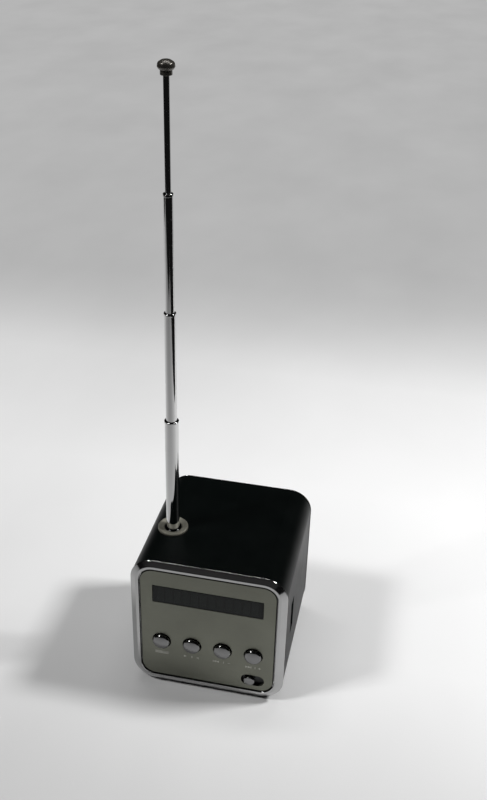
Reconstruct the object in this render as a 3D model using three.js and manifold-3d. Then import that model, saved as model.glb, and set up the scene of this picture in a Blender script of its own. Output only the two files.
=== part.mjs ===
// Cube-shaped FM radio speaker with a telescopic aerial.
// Millimetres. X runs to the right, Y to the back, Z up, and the feet stand on z = 0.
// The case's own heights are counted from the underside of its bezels.

import * as THREE from 'three';
import { mergeVertices } from 'three/addons/utils/BufferGeometryUtils.js';
import Module from 'manifold-3d';

const wasm = await Module();
wasm.setup();

// Driving dimensions

// Case, over the chrome bezels
const CASE_WIDTH = 52;
const CASE_HEIGHT = 52;
const CASE_DEPTH = 51;
const CORNER_RADIUS = 8;
const FOOT_GAP = 1;
const FOOT_DIAMETER = 5;
const FOOT_INSET_X = 10.8;
const FOOT_INSET_Y = 5.3;

// Clearances
const CLEAR = 0.3;
const SEAM_GAP = 0.15;
const AERIAL_CLEAR = 0.08;
const THREAD_CLEAR = 0.1;

// How far a cutting tool runs past the face it cuts, and a joined piece into its neighbour
const OVERCUT = 1;

// Body shell and its screw bosses
const SHELL_STEP = 0.2;
const SHELL_WALL = 1.4;
const BOSS_RADIUS = 2.5;
const FRONT_BOSS_LENGTH = 3.6;
const REAR_BOSS_LENGTH = 7;
const BOSS_INSET = 4;
const WEB_WIDTH = 3;

// Bezels
const BEZEL_DEPTH = 1.3;
const BEZEL_WIDTH = 2.9;
const BEVEL_DEPTH = 1.1;
const BEVEL_WIDTH = 1.9;
const OPENING_RADIUS = 5;
const LEDGE_WIDTH = 1.1;
const SPIGOT_DEPTH = 3;

// Front panel and rear grille
const PANEL_RECESS = 0.25;
const PANEL_THICKNESS = 1;
const PANEL_GAP = 0.35;
const GRILLE_PITCH = 3.3;
const GRILLE_HOLE = 2.1;
const GRILLE_RINGS = 4;

// Display, counted from the front panel's top and sides
const DISPLAY_SIDE_MARGIN = 4.25;
const DISPLAY_TOP_MARGIN = 6.15;
const DISPLAY_HEIGHT = 7;
const WINDOW_THICKNESS = 0.8;
const WINDOW_GAP = 0.12;
const WINDOW_SET_BACK = 0.05;
const MODULE_BORDER = 1;
const MODULE_DEPTH = 3.6;
const PIN_WIDTH = 0.6;
const PIN_COUNT = 6;
const PIN_PITCH = 2.54;

// Push buttons and their switches, counted from the panel's sides and foot to the buttons' middles
const BUTTON_COUNT = 4;
const BUTTON_SIDE_MARGIN = 7.09;
const BUTTON_RISE = 15.55;
const BUTTON_DIAMETER = 5.8;
const BUTTON_PROUD = 1.65;
const BUTTON_CROWN = 6.75;
const BUTTON_SHOULDER = 0.7;
const FLANGE_RIM = 0.9;
const FLANGE_THICKNESS = 0.6;
const BUTTON_TRAVEL = 0.5;
const STEM_DIAMETER = 3;
const STEM_REACH = 1.6;
const TACT_WIDTH = 6;
const TACT_HEIGHT = 3.5;
const TACT_STAND_OFF = 0.6;

// Power switch, counted from the panel's right-hand side and foot to the slot's middle
const SLOT_WIDTH = 7.9;
const SLOT_HEIGHT = 4.5;
const SLOT_SIDE_MARGIN = 7.05;
const SLOT_RISE = 4.35;
const SWITCH_TRAVEL = 2.1;
const KNOB_DIAMETER = 3.8;
const KNOB_PROUD = 1.1;
const KNOB_CROWN = 5;
const KNOB_SHOULDER = 0.5;
const SLIDER_THICKNESS = 0.5;
const SLIDER_BORDER = 0.5;
const SLIDER_STEM_WIDTH = 2;
const SLIDER_STEM_HEIGHT = 1.6;
const SWITCH_BODY_WIDTH = 8.6;
const SWITCH_BODY_HEIGHT = 4.4;
const SWITCH_STAND_OFF = 0.4;
const SWITCH_SLOT_DEPTH = 1.6;

// Front frame and circuit boards
const FRAME_THICKNESS = 1;
const POST_DIAMETER = 4.4;
const POST_RISE = 5.95;
const BOARD_THICKNESS = 1.2;
const FRONT_BOARD_INSET = 2.9;
const MAIN_BOARD_FROM_AERIAL = 4.2;
const MAIN_BOARD_INSET_RIGHT = 2;
const MAIN_BOARD_TOP_GAP = 4.4;
const CONNECTOR_X = 3;
const CONNECTOR_WIDTH = 2.5;
const CONNECTOR_HEIGHT = 15;

// Tall socket in the right side, counted from the front to its middle
const USB_SET_BACK = 15;
const USB_OPENING_HEIGHT = 12.3;
const USB_OPENING_WIDTH = 4.8;
const USB_WALL = 0.3;
const USB_DEPTH = 13.3;
const USB_TONGUE_HEIGHT = 11.1;
const USB_TONGUE_THICKNESS = 1.8;
const USB_TONGUE_SET_BACK = 1;

// Sockets in the left side
const CARD_HEIGHT = 14.6;
const CARD_THICKNESS = 1.9;
const CARD_DEPTH = 11.2;
const CARD_SLOT_HEIGHT = 11.6;
const CARD_SLOT_WIDTH = 0.9;
const CHARGE_HEIGHT = 7.7;
const CHARGE_THICKNESS = 4;
const CHARGE_DEPTH = 9.2;
const CHARGE_WALL = 0.4;
const CHARGE_TONGUE_HEIGHT = 5;
const CHARGE_TONGUE_THICKNESS = 1;
const AUDIO_RISE = 0.9;
const AUDIO_HEIGHT = 6;
const AUDIO_THICKNESS = 5.2;
const AUDIO_DEPTH = 12;
const AUDIO_BARREL_DIAMETER = 5;
const AUDIO_BORE_DIAMETER = 3.6;

// Aerial: the lists run from the outer tube to the last tube, and a reach is how far a mouth
// stands above the one below it, or above the shell
const AERIAL_INSET = 9.4;
const AERIAL_SET_BACK = 19.5;
const AERIAL_REACH = [0.5, 41.75, 37.15, 36.2];
const AERIAL_RADIUS = [2.6, 2.2, 1.75, 1.375];
const AERIAL_BORE_RADIUS = [2.4, 2, 1.55, 1.175];
const AERIAL_OVERLAP = [5, 4.5, 4.5, 4];
const ROD_RADIUS = 0.875;
const ROD_REACH = 31.5;
const COLLAR_RADIUS = 1.65;
const COLLAR_HEIGHT = 1.3;
const TIP_RADIUS = 2.44;
const TIP_HEIGHT = 2.6;
const BUSH_HEIGHT = 2.2;
const BEAD_HEIGHT = 0.9;
const BEAD_PROUD = 0.12;
const ROSETTE_DIAMETER = 10.05;
const ROSETTE_HEIGHT = 0.9;
const ROSETTE_RIM = 0.7;
const BARREL_RADIUS = 3.9;
const BARREL_LENGTH = 5.8;
const NUT_SEAT_RADIUS = 5.5;
const NUT_SEAT_DEPTH = 2;
const NUT_RADIUS = 5.3;
const NUT_HEIGHT = 2;
const AERIAL_SOCKET_SEAT = 1;
const AERIAL_SOCKET_RADIUS = 3.5;
const AERIAL_SOCKET_HEIGHT = 4.6;
const AERIAL_SOCKET_FLOOR = 0.9;
const CONTACT_THICKNESS = 0.4;
const CONTACT_HEIGHT = 4;
const CONTACT_REACH = 3.4;

// Battery and its compartment
const HOLDER_FROM_SOCKET = 0.8;
const HOLDER_FROM_BOARD = 2.1;
const BATTERY_WIDTH = 24;
const BATTERY_LENGTH = 23.4;
const BATTERY_THICKNESS = 4.2;
const HOLDER_WALL = 0.6;
const HOLDER_ROOF = 0.8;
const HOLDER_BOSS_RADIUS = 1.7;
const DOOR_THICKNESS = 1.2;

// Loudspeaker, facing the back
const SPEAKER_RADIUS = 18;
const CONE_RADIUS = 14.4;
const SURROUND_WIDTH = 1.6;
const BASKET_DEPTH = 9;
const BASKET_WALL = 0.7;
const BASKET_FLOOR_RADIUS = 12;
const FLANGE_DEPTH = 0.8;
const GASKET_THICKNESS = 1.3;
const GASKET_WIDTH = 1.2;
const PLATE_RADIUS = 10;
const PLATE_THICKNESS = 2;
const MAGNET_RADIUS = 11;
const MAGNET_THICKNESS = 5;
const MAGNET_BORE_RADIUS = 6;
const POLE_RADIUS = 4.4;
const COIL_RADIUS = 5;
const COIL_WALL = 0.3;
const COIL_LENGTH = 6.4;
const CONE_THICKNESS = 0.5;
const CONE_NECK_GAP = 3.4;
const DUST_CAP_RADIUS = 6.4;
const DUST_CAP_HEIGHT = 1.8;
const CONE_STROKE = 0.6;
const BAFFLE_THICKNESS = 1.5;

// Screws
const SCREW_RADIUS = 0.9;
const SCREW_LENGTH = 5;
const HEAD_RADIUS = 1.8;
const HEAD_HEIGHT = 1.1;
const HEAD_SLOT_WIDTH = 0.5;
const HEAD_SLOT_DEPTH = 0.4;

// Faceting of round stretches
const CORNER_STEPS = 6;
const DOME_STEPS = 3;
const SHOULDER_STEPS = 3;
const ARC_STEPS = 3;
const HOLE_SIDES = 16;
const SMALL_SIDES = 10;
const AERIAL_SIDES = 16;
const SPEAKER_SIDES = 24;
const GRILLE_SIDES = 6;

// Places worked out from the dimensions
const MID_Z = CASE_HEIGHT / 2;
const FRONT_Y = -CASE_DEPTH / 2;
const SHOULDER_Y = FRONT_Y + BEZEL_DEPTH;
const SPIGOT_END_Y = SHOULDER_Y + SPIGOT_DEPTH;
const PANEL_Y = FRONT_Y + PANEL_RECESS;
const PANEL_BACK_Y = PANEL_Y + PANEL_THICKNESS;
const FLANGE_Y = PANEL_BACK_Y + CLEAR;
const FLANGE_BACK_Y = FLANGE_Y + FLANGE_THICKNESS;
const FRAME_Y = FLANGE_BACK_Y + BUTTON_TRAVEL + CLEAR;
const FRAME_BACK_Y = FRAME_Y + FRAME_THICKNESS;
const TACT_Y = FRAME_BACK_Y + TACT_STAND_OFF;
const BOARD_Y = TACT_Y + TACT_HEIGHT;
const BOARD_BACK_Y = BOARD_Y + BOARD_THICKNESS;
const USB_Y = FRONT_Y + USB_SET_BACK;
const USB_Z = MID_Z;
const MAIN_BOARD_Y = USB_Y + USB_OPENING_WIDTH / 2 + USB_WALL;
const SHELL_FRONT_Y = SHOULDER_Y + SEAM_GAP;
const SHELL_WIDTH = CASE_WIDTH - 2 * SHELL_STEP;
const SHELL_HEIGHT = CASE_HEIGHT - 2 * SHELL_STEP;
const SHELL_RADIUS = CORNER_RADIUS - SHELL_STEP;
const INNER_WIDTH = SHELL_WIDTH - 2 * SHELL_WALL;
const INNER_HEIGHT = SHELL_HEIGHT - 2 * SHELL_WALL;
const INNER_RADIUS = SHELL_RADIUS - SHELL_WALL;
const FLOOR_Z = SHELL_STEP + SHELL_WALL;
const ROOF_Z = CASE_HEIGHT - SHELL_STEP - SHELL_WALL;
const TOP_Z = CASE_HEIGHT - SHELL_STEP;
const SOCKET_X = INNER_WIDTH / 2 - CLEAR;
const BOSS_X = INNER_WIDTH / 2 - BOSS_INSET;
const CORNER_BOSS_X = INNER_WIDTH / 2 - INNER_RADIUS + (INNER_RADIUS - BOSS_INSET) * Math.SQRT1_2;
const CORNER_BOSS_Z = INNER_HEIGHT / 2 - INNER_RADIUS + (INNER_RADIUS - BOSS_INSET) * Math.SQRT1_2;
const BOSS_Y = SPIGOT_END_Y + SEAM_GAP;
const PANEL_RADIUS = OPENING_RADIUS - PANEL_GAP;
const LEDGE_RADIUS = OPENING_RADIUS - LEDGE_WIDTH;
const OPENING_WIDTH = CASE_WIDTH - 2 * BEZEL_WIDTH;
const OPENING_HEIGHT = CASE_HEIGHT - 2 * BEZEL_WIDTH;
const LEDGE_OPENING_WIDTH = OPENING_WIDTH - 2 * LEDGE_WIDTH;
const LEDGE_OPENING_HEIGHT = OPENING_HEIGHT - 2 * LEDGE_WIDTH;
const PANEL_WIDTH = OPENING_WIDTH - 2 * PANEL_GAP;
const PANEL_HEIGHT = OPENING_HEIGHT - 2 * PANEL_GAP;
const PANEL_FOOT_Z = MID_Z - PANEL_HEIGHT / 2;
const DISPLAY_WIDTH = PANEL_WIDTH - 2 * DISPLAY_SIDE_MARGIN;
const DISPLAY_Z = PANEL_FOOT_Z + PANEL_HEIGHT - DISPLAY_TOP_MARGIN - DISPLAY_HEIGHT / 2;
const MODULE_WIDTH = DISPLAY_WIDTH + 2 * MODULE_BORDER;
const MODULE_HEIGHT = DISPLAY_HEIGHT + 2 * MODULE_BORDER;
const BUTTON_PITCH = (PANEL_WIDTH - 2 * BUTTON_SIDE_MARGIN) / (BUTTON_COUNT - 1);
const BUTTON_Z = PANEL_FOOT_Z + BUTTON_RISE;
const BUTTON_FLANGE_RADIUS = BUTTON_DIAMETER / 2 + FLANGE_RIM;
const SLOT_X = PANEL_WIDTH / 2 - SLOT_SIDE_MARGIN;
const SLOT_Z = PANEL_FOOT_Z + SLOT_RISE;
const KNOB_X = SLOT_X - SWITCH_TRAVEL / 2;
const POST_X = BUTTON_PITCH;
const POST_INNER_X = SLOT_X - SWITCH_BODY_WIDTH / 2 - POST_DIAMETER;
const POST_UPPER_Z = (BUTTON_Z + BUTTON_FLANGE_RADIUS + DISPLAY_Z - MODULE_HEIGHT / 2) / 2;
const POST_LOWER_Z = PANEL_FOOT_Z + POST_RISE;
const CONNECTOR_Z = ROOF_Z - MAIN_BOARD_TOP_GAP - CONNECTOR_HEIGHT / 2;
const CARD_Z = FLOOR_Z + INNER_RADIUS + CARD_HEIGHT / 2;
const AUDIO_Z = ROOF_Z - INNER_RADIUS + AUDIO_RISE - AUDIO_HEIGHT / 2;
const CHARGE_Z = (CARD_Z + CARD_HEIGHT / 2 + AUDIO_Z - AUDIO_HEIGHT / 2) / 2;
const AERIAL_X = AERIAL_INSET - CASE_WIDTH / 2;
const AERIAL_Y = FRONT_Y + AERIAL_SET_BACK;
const MAIN_BOARD_LEFT_X = AERIAL_X + MAIN_BOARD_FROM_AERIAL;
const HOLE_RADIUS = BUTTON_DIAMETER / 2 + CLEAR;
const SOCKET_SEAT_RADIUS = AERIAL_SOCKET_RADIUS + CLEAR;
const AERIAL_SOCKET_Z = FLOOR_Z + AERIAL_SOCKET_SEAT + SEAM_GAP;
const HOLDER_FLOOR_Z = FLOOR_Z + SEAM_GAP;
const DOOR_Z = FLOOR_Z - SEAM_GAP - DOOR_THICKNESS;
const BATTERY_Z = FLOOR_Z + CLEAR;
const HOLDER_ROOF_Z = BATTERY_Z + BATTERY_THICKNESS + CLEAR;
const HOLDER_TOP_Z = HOLDER_ROOF_Z + HOLDER_ROOF;
const BAY_WIDTH = BATTERY_WIDTH + 2 * CLEAR;
const DOOR_SCREW_SPACE = 2 * HOLDER_BOSS_RADIUS + CLEAR;
const BAY_LEFT_X = AERIAL_X + SOCKET_SEAT_RADIUS + HOLDER_FROM_SOCKET + HOLDER_WALL;
const BAY_FRONT_Y = BOARD_BACK_Y + HOLDER_FROM_BOARD + HOLDER_WALL;
const BATTERY_X = BAY_LEFT_X + BAY_WIDTH / 2;
const BATTERY_Y = BAY_FRONT_Y + CONTACT_THICKNESS + 2 * CLEAR + BATTERY_LENGTH / 2;
const BAY_BACK_Y = BATTERY_Y + BATTERY_LENGTH / 2 + CLEAR + DOOR_SCREW_SPACE;
const DOOR_SCREW_Y = BAY_BACK_Y - HOLDER_BOSS_RADIUS - CLEAR;

// Outlines are lists of points, counted anticlockwise

function roundedOutline(width, height, radius, x = 0, z = 0, steps = CORNER_STEPS) {
  const points = [];
  const corners = [[1, 1], [-1, 1], [-1, -1], [1, -1]];
  corners.forEach(([sideX, sideZ], quarter) => {
    for (let step = 0; step <= steps; step += 1) {
      const angle = (quarter + step / steps) * Math.PI / 2;
      points.push(new THREE.Vector2(
        x + sideX * (width / 2 - radius) + radius * Math.cos(angle),
        z + sideZ * (height / 2 - radius) + radius * Math.sin(angle),
      ));
    }
  });
  return points;
}

function rectangle(width, height, x = 0, z = 0) {
  return [[1, 1], [-1, 1], [-1, -1], [1, -1]].map(([sideX, sideZ]) => (
    new THREE.Vector2(x + sideX * width / 2, z + sideZ * height / 2)
  ));
}

function circle(radius, x = 0, z = 0, sides = HOLE_SIDES) {
  const points = [];
  for (let side = 0; side < sides; side += 1) {
    const angle = side / sides * Math.PI * 2;
    points.push(new THREE.Vector2(x + radius * Math.cos(angle), z + radius * Math.sin(angle)));
  }
  return points;
}

function stadium(width, height, x, z) {
  return roundedOutline(width, height, height / 2 - 0.001, x, z);
}

// Prisms along each axis, and pieces turned about each axis

function extruded(outline, depth, holes) {
  const shape = new THREE.Shape(outline);
  shape.holes = holes.map((hole) => new THREE.Path(hole));
  return new THREE.ExtrudeGeometry(shape, { depth, bevelEnabled: false });
}

function prismY(outline, frontY, backY, holes = []) {
  return extruded(outline, backY - frontY, holes).rotateX(Math.PI / 2).translate(0, backY, 0);
}

function prismZ(outline, lowZ, highZ, holes = []) {
  return extruded(outline, highZ - lowZ, holes).translate(0, 0, lowZ);
}

function prismX(outline, lowX, highX, holes = []) {
  const axes = new THREE.Matrix4().makeBasis(
    new THREE.Vector3(0, 1, 0),
    new THREE.Vector3(0, 0, 1),
    new THREE.Vector3(1, 0, 0),
  );
  return extruded(outline, highX - lowX, holes).applyMatrix4(axes).translate(lowX, 0, 0);
}

function block(lowX, highX, lowY, highY, lowZ, highZ) {
  const box = new THREE.BoxGeometry(highX - lowX, highY - lowY, highZ - lowZ);
  return box.translate((lowX + highX) / 2, (lowY + highY) / 2, (lowZ + highZ) / 2);
}

function turnedY(profile, sides, x = 0, z = MID_Z) {
  const points = profile.map(([radius, y]) => new THREE.Vector2(radius, y));
  return new THREE.LatheGeometry(points, sides).translate(x, 0, z);
}

function turnedZ(profile, sides, x = 0, y = 0) {
  const points = profile.map(([radius, z]) => new THREE.Vector2(radius, z));
  return new THREE.LatheGeometry(points, sides).rotateX(Math.PI / 2).translate(x, y, 0);
}

function ringProfile(innerRadius, outerRadius, low, high) {
  return [
    [innerRadius, low], [outerRadius, low], [outerRadius, high], [innerRadius, high],
    [innerRadius, low],
  ];
}

function pinY(radius, frontY, backY, x, z, sides = SMALL_SIDES) {
  return turnedY([[0, frontY], [radius, frontY], [radius, backY], [0, backY]], sides, x, z);
}

function pinZ(radius, lowZ, highZ, x, y, sides = SMALL_SIDES) {
  return turnedZ([[0, lowZ], [radius, lowZ], [radius, highZ], [0, highZ]], sides, x, y);
}

function pinX(radius, lowX, highX, y, z, sides = SMALL_SIDES) {
  return prismX(circle(radius, y, z, sides), lowX, highX);
}

// Joining and cutting of closed meshes

function closedMesh(geometry) {
  const bare = geometry.clone();
  bare.deleteAttribute('normal');
  bare.deleteAttribute('uv');
  const merged = mergeVertices(bare);
  const corners = merged.index.array;
  const kept = [];
  for (let first = 0; first < corners.length; first += 3) {
    const [a, b, c] = corners.slice(first, first + 3);
    if (a !== b && b !== c && c !== a) {
      kept.push(a, b, c);
    }
  }
  const closed = new THREE.BufferGeometry();
  closed.setAttribute('position', merged.getAttribute('position'));
  closed.setIndex(kept);
  return closed;
}

function signedVolume(geometry) {
  const positions = geometry.getAttribute('position');
  const corners = geometry.index.array;
  const a = new THREE.Vector3();
  const b = new THREE.Vector3();
  const c = new THREE.Vector3();
  let volume = 0;
  for (let first = 0; first < corners.length; first += 3) {
    a.fromBufferAttribute(positions, corners[first]);
    b.fromBufferAttribute(positions, corners[first + 1]);
    c.fromBufferAttribute(positions, corners[first + 2]);
    volume += a.dot(b.cross(c)) / 6;
  }
  return volume;
}

function facingOut(geometry) {
  const closed = closedMesh(geometry);
  if (signedVolume(closed) < 0) {
    closed.setIndex(Array.from(closed.index.array).reverse());
  }
  return closed;
}

function toSolid(geometry) {
  const closed = facingOut(geometry);
  return new wasm.Manifold(new wasm.Mesh({
    numProp: 3,
    vertProperties: new Float32Array(closed.getAttribute('position').array),
    triVerts: new Uint32Array(closed.index.array),
  }));
}

function toGeometry(solid) {
  const mesh = solid.getMesh();
  const geometry = new THREE.BufferGeometry();
  geometry.setAttribute('position', new THREE.BufferAttribute(mesh.vertProperties, 3));
  geometry.setIndex(Array.from(mesh.triVerts));
  return geometry;
}

function joined(...pieces) {
  return toGeometry(pieces.map(toSolid).reduce((whole, piece) => whole.add(piece)));
}

function cut(base, ...tools) {
  return toGeometry(tools.map(toSolid).reduce((rest, tool) => rest.subtract(tool), toSolid(base)));
}

// Finishes

function finish(color, roughness, metalness) {
  return new THREE.MeshStandardMaterial({ color, roughness, metalness, flatShading: true });
}

const blackAluminium = finish(0x0c0c0d, 0.45, 0.6);
const chrome = finish(0xc9cbcc, 0.12, 1);
const satinMetal = finish(0x77766b, 0.4, 0.9);
const smokedGlass = finish(0x22272a, 0.25, 0);
const blackPlastic = finish(0x141414, 0.5, 0);
const whitePlastic = finish(0xd8d8d2, 0.5, 0);
const boardGreen = finish(0x1d5b34, 0.5, 0);
const steel = finish(0x9a9c9e, 0.35, 1);
const brass = finish(0xb9974f, 0.35, 1);
const ferrite = finish(0x2a2a2c, 0.6, 0);
const paper = finish(0x1b1b1b, 0.9, 0);
const rubber = finish(0x191919, 0.85, 0);
const copper = finish(0xa5613a, 0.4, 1);
const cellWrap = finish(0x2f5f8f, 0.4, 0);

const radio = new THREE.Group();
radio.position.z = FOOT_GAP;

function place(name, geometry, material) {
  const mesh = new THREE.Mesh(facingOut(geometry), material);
  mesh.name = name;
  radio.add(mesh);
}

// Body shell: a square aluminium tube with rounded corners, lying front to back

function bossWithWeb(x, z, frontY, backY) {
  const angle = Math.atan2(z - MID_Z, x);
  const web = new THREE.BoxGeometry(BOSS_INSET, backY - frontY, WEB_WIDTH);
  web.translate(BOSS_INSET / 2 + SHELL_WALL / 2, 0, 0);
  web.rotateY(-angle);
  web.translate(x, (frontY + backY) / 2, z);
  return joined(pinY(BOSS_RADIUS, frontY, backY, x, z, HOLE_SIDES), web);
}

function bodyShell() {
  const tube = prismY(
    roundedOutline(SHELL_WIDTH, SHELL_HEIGHT, SHELL_RADIUS, 0, MID_Z),
    SHELL_FRONT_Y,
    -SHELL_FRONT_Y,
    [roundedOutline(INNER_WIDTH, INNER_HEIGHT, INNER_RADIUS, 0, MID_Z)],
  );
  const frontBosses = [-1, 1].map((side) => (
    bossWithWeb(side * BOSS_X, MID_Z, BOSS_Y, BOSS_Y + FRONT_BOSS_LENGTH)
  ));
  const rearBosses = [-1, 1].map((side) => (
    bossWithWeb(side * CORNER_BOSS_X, MID_Z + side * CORNER_BOSS_Z, -BOSS_Y - REAR_BOSS_LENGTH, -BOSS_Y)
  ));
  const pilotRadius = SCREW_RADIUS + THREAD_CLEAR;
  const frontPilots = [-1, 1].map((side) => (
    pinY(pilotRadius, BOSS_Y - OVERCUT, BOSS_Y + FRONT_BOSS_LENGTH + OVERCUT, side * BOSS_X, MID_Z)
  ));
  const rearPilots = [-1, 1].map((side) => pinY(
    pilotRadius,
    -BOSS_Y - REAR_BOSS_LENGTH - OVERCUT,
    -BOSS_Y + OVERCUT,
    side * CORNER_BOSS_X,
    MID_Z + side * CORNER_BOSS_Z,
  ));
  const rightFace = SHELL_WIDTH / 2;
  const past = SHELL_WALL + OVERCUT;
  const usbWindow = block(
    rightFace - past, rightFace + OVERCUT,
    USB_Y - USB_OPENING_WIDTH / 2, USB_Y + USB_OPENING_WIDTH / 2,
    USB_Z - USB_OPENING_HEIGHT / 2, USB_Z + USB_OPENING_HEIGHT / 2,
  );
  const cardY = BOARD_BACK_Y + CARD_THICKNESS / 2;
  const cardWindow = block(
    -rightFace - OVERCUT, -rightFace + past,
    cardY - CARD_SLOT_WIDTH / 2 - CLEAR, cardY + CARD_SLOT_WIDTH / 2 + CLEAR,
    CARD_Z - CARD_SLOT_HEIGHT / 2 - CLEAR, CARD_Z + CARD_SLOT_HEIGHT / 2 + CLEAR,
  );
  const chargeY = BOARD_BACK_Y + CHARGE_THICKNESS / 2;
  const chargeWindow = block(
    -rightFace - OVERCUT, -rightFace + past,
    chargeY - CHARGE_THICKNESS / 2 + CHARGE_WALL, chargeY + CHARGE_THICKNESS / 2 - CHARGE_WALL,
    CHARGE_Z - CHARGE_HEIGHT / 2 + CHARGE_WALL, CHARGE_Z + CHARGE_HEIGHT / 2 - CHARGE_WALL,
  );
  const audioWindow = pinX(
    AUDIO_BARREL_DIAMETER / 2 + CLEAR,
    -rightFace - OVERCUT,
    -rightFace + past,
    BOARD_BACK_Y + AUDIO_THICKNESS / 2,
    AUDIO_Z,
    HOLE_SIDES,
  );
  const nutSeat = pinZ(
    NUT_SEAT_RADIUS,
    ROOF_Z - NUT_SEAT_DEPTH,
    ROOF_Z + SHELL_WALL / 2,
    AERIAL_X,
    AERIAL_Y,
    HOLE_SIDES,
  );
  const socketSeat = pinZ(
    SOCKET_SEAT_RADIUS,
    FLOOR_Z - SHELL_WALL / 2,
    FLOOR_Z + AERIAL_SOCKET_SEAT,
    AERIAL_X,
    AERIAL_Y,
    HOLE_SIDES,
  );
  const aerialHole = pinZ(
    BARREL_RADIUS + CLEAR,
    ROOF_Z - NUT_SEAT_DEPTH - OVERCUT,
    TOP_Z + OVERCUT,
    AERIAL_X,
    AERIAL_Y,
    HOLE_SIDES,
  );
  const doorway = block(
    BATTERY_X - BAY_WIDTH / 2, BATTERY_X + BAY_WIDTH / 2,
    BAY_FRONT_Y, BAY_BACK_Y,
    -OVERCUT, FLOOR_Z + OVERCUT,
  );
  return cut(
    joined(tube, nutSeat, socketSeat, ...frontBosses, ...rearBosses),
    ...frontPilots, ...rearPilots, usbWindow, cardWindow, chargeWindow, audioWindow,
    aerialHole, doorway,
  );
}

place('body_shell', bodyShell(), blackAluminium);

// Bezels: chrome rings with a bevelled face, a flat lip, a ledge and a spigot into the shell

function bevelledFace() {
  const lip = roundedOutline(
    CASE_WIDTH - 2 * BEVEL_WIDTH,
    CASE_HEIGHT - 2 * BEVEL_WIDTH,
    CORNER_RADIUS - BEVEL_WIDTH,
    0,
    MID_Z,
  );
  const slab = new THREE.ExtrudeGeometry(new THREE.Shape(lip), {
    depth: BEZEL_DEPTH - BEVEL_DEPTH,
    bevelThickness: BEVEL_DEPTH,
    bevelSize: BEVEL_WIDTH,
    bevelSegments: 1,
  });
  slab.rotateX(Math.PI / 2).translate(0, SHOULDER_Y, 0);
  const behind = block(
    -CASE_WIDTH, CASE_WIDTH, SHOULDER_Y, SHOULDER_Y + 2 * BEVEL_DEPTH, -CASE_HEIGHT, 2 * CASE_HEIGHT,
  );
  return cut(slab, behind);
}

function spigot() {
  return prismY(
    roundedOutline(
      INNER_WIDTH - 2 * CLEAR,
      INNER_HEIGHT - 2 * CLEAR,
      INNER_RADIUS - CLEAR,
      0,
      MID_Z,
    ),
    SHOULDER_Y - CLEAR,
    SPIGOT_END_Y,
  );
}

function panelPocket() {
  return prismY(
    roundedOutline(OPENING_WIDTH, OPENING_HEIGHT, OPENING_RADIUS, 0, MID_Z),
    FRONT_Y - OVERCUT,
    PANEL_BACK_Y,
  );
}

function screwBore(x, z) {
  return joined(
    pinY(SCREW_RADIUS + THREAD_CLEAR, PANEL_BACK_Y, SPIGOT_END_Y + OVERCUT, x, z),
    pinY(HEAD_RADIUS + CLEAR, PANEL_BACK_Y - OVERCUT, PANEL_BACK_Y + HEAD_HEIGHT + THREAD_CLEAR, x, z),
  );
}

function turnedRound(geometry) {
  return geometry.rotateZ(Math.PI);
}

function frontBezel() {
  const through = prismY(
    roundedOutline(LEDGE_OPENING_WIDTH, LEDGE_OPENING_HEIGHT, LEDGE_RADIUS, 0, MID_Z),
    FRONT_Y - OVERCUT,
    SPIGOT_END_Y + OVERCUT,
  );
  const pads = [-1, 1].map((side) => (
    pinY(BOSS_RADIUS, PANEL_BACK_Y, SPIGOT_END_Y, side * BOSS_X, MID_Z, HOLE_SIDES)
  ));
  const ring = cut(joined(bevelledFace(), spigot()), panelPocket(), through);
  const bores = [-1, 1].map((side) => screwBore(side * BOSS_X, MID_Z));
  return cut(joined(ring, ...pads), ...bores);
}

function rearBezel() {
  const hollow = prismY(
    roundedOutline(LEDGE_OPENING_WIDTH, LEDGE_OPENING_HEIGHT, LEDGE_RADIUS, 0, MID_Z),
    PANEL_BACK_Y + BAFFLE_THICKNESS,
    SPIGOT_END_Y + OVERCUT,
  );
  const soundHole = pinY(
    CONE_RADIUS + SURROUND_WIDTH + CLEAR,
    FRONT_Y - OVERCUT,
    SPIGOT_END_Y,
    0,
    MID_Z,
    SPEAKER_SIDES,
  );
  const pads = [-1, 1].map((side) => pinY(
    BOSS_RADIUS,
    PANEL_BACK_Y,
    SPIGOT_END_Y,
    -side * CORNER_BOSS_X,
    MID_Z + side * CORNER_BOSS_Z,
    HOLE_SIDES,
  ));
  const ring = cut(joined(bevelledFace(), spigot()), panelPocket(), hollow, soundHole);
  const bores = [-1, 1].map((side) => (
    screwBore(-side * CORNER_BOSS_X, MID_Z + side * CORNER_BOSS_Z)
  ));
  return turnedRound(cut(joined(ring, ...pads), ...bores));
}

place('front_bezel', frontBezel(), chrome);
place('rear_bezel', rearBezel(), chrome);

// Screws: pan head with a slot, cut for a screwdriver, and a plain shank

function screwProfile() {
  return [
    [0, 0], [HEAD_RADIUS * 0.8, 0], [HEAD_RADIUS, HEAD_HEIGHT * 0.4], [HEAD_RADIUS, HEAD_HEIGHT],
    [SCREW_RADIUS, HEAD_HEIGHT], [SCREW_RADIUS, HEAD_HEIGHT + SCREW_LENGTH],
    [0, HEAD_HEIGHT + SCREW_LENGTH],
  ];
}

function screw() {
  const slot = block(
    -HEAD_SLOT_WIDTH / 2, HEAD_SLOT_WIDTH / 2,
    -OVERCUT, HEAD_SLOT_DEPTH,
    -HEAD_RADIUS * 2, HEAD_RADIUS * 2,
  );
  return cut(turnedY(screwProfile(), SMALL_SIDES, 0, 0), slot);
}

[-1, 1].forEach((side, index) => {
  place(
    `front_bezel_screw_${index + 1}`,
    screw().translate(side * BOSS_X, PANEL_BACK_Y + THREAD_CLEAR, MID_Z),
    steel,
  );
});

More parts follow.
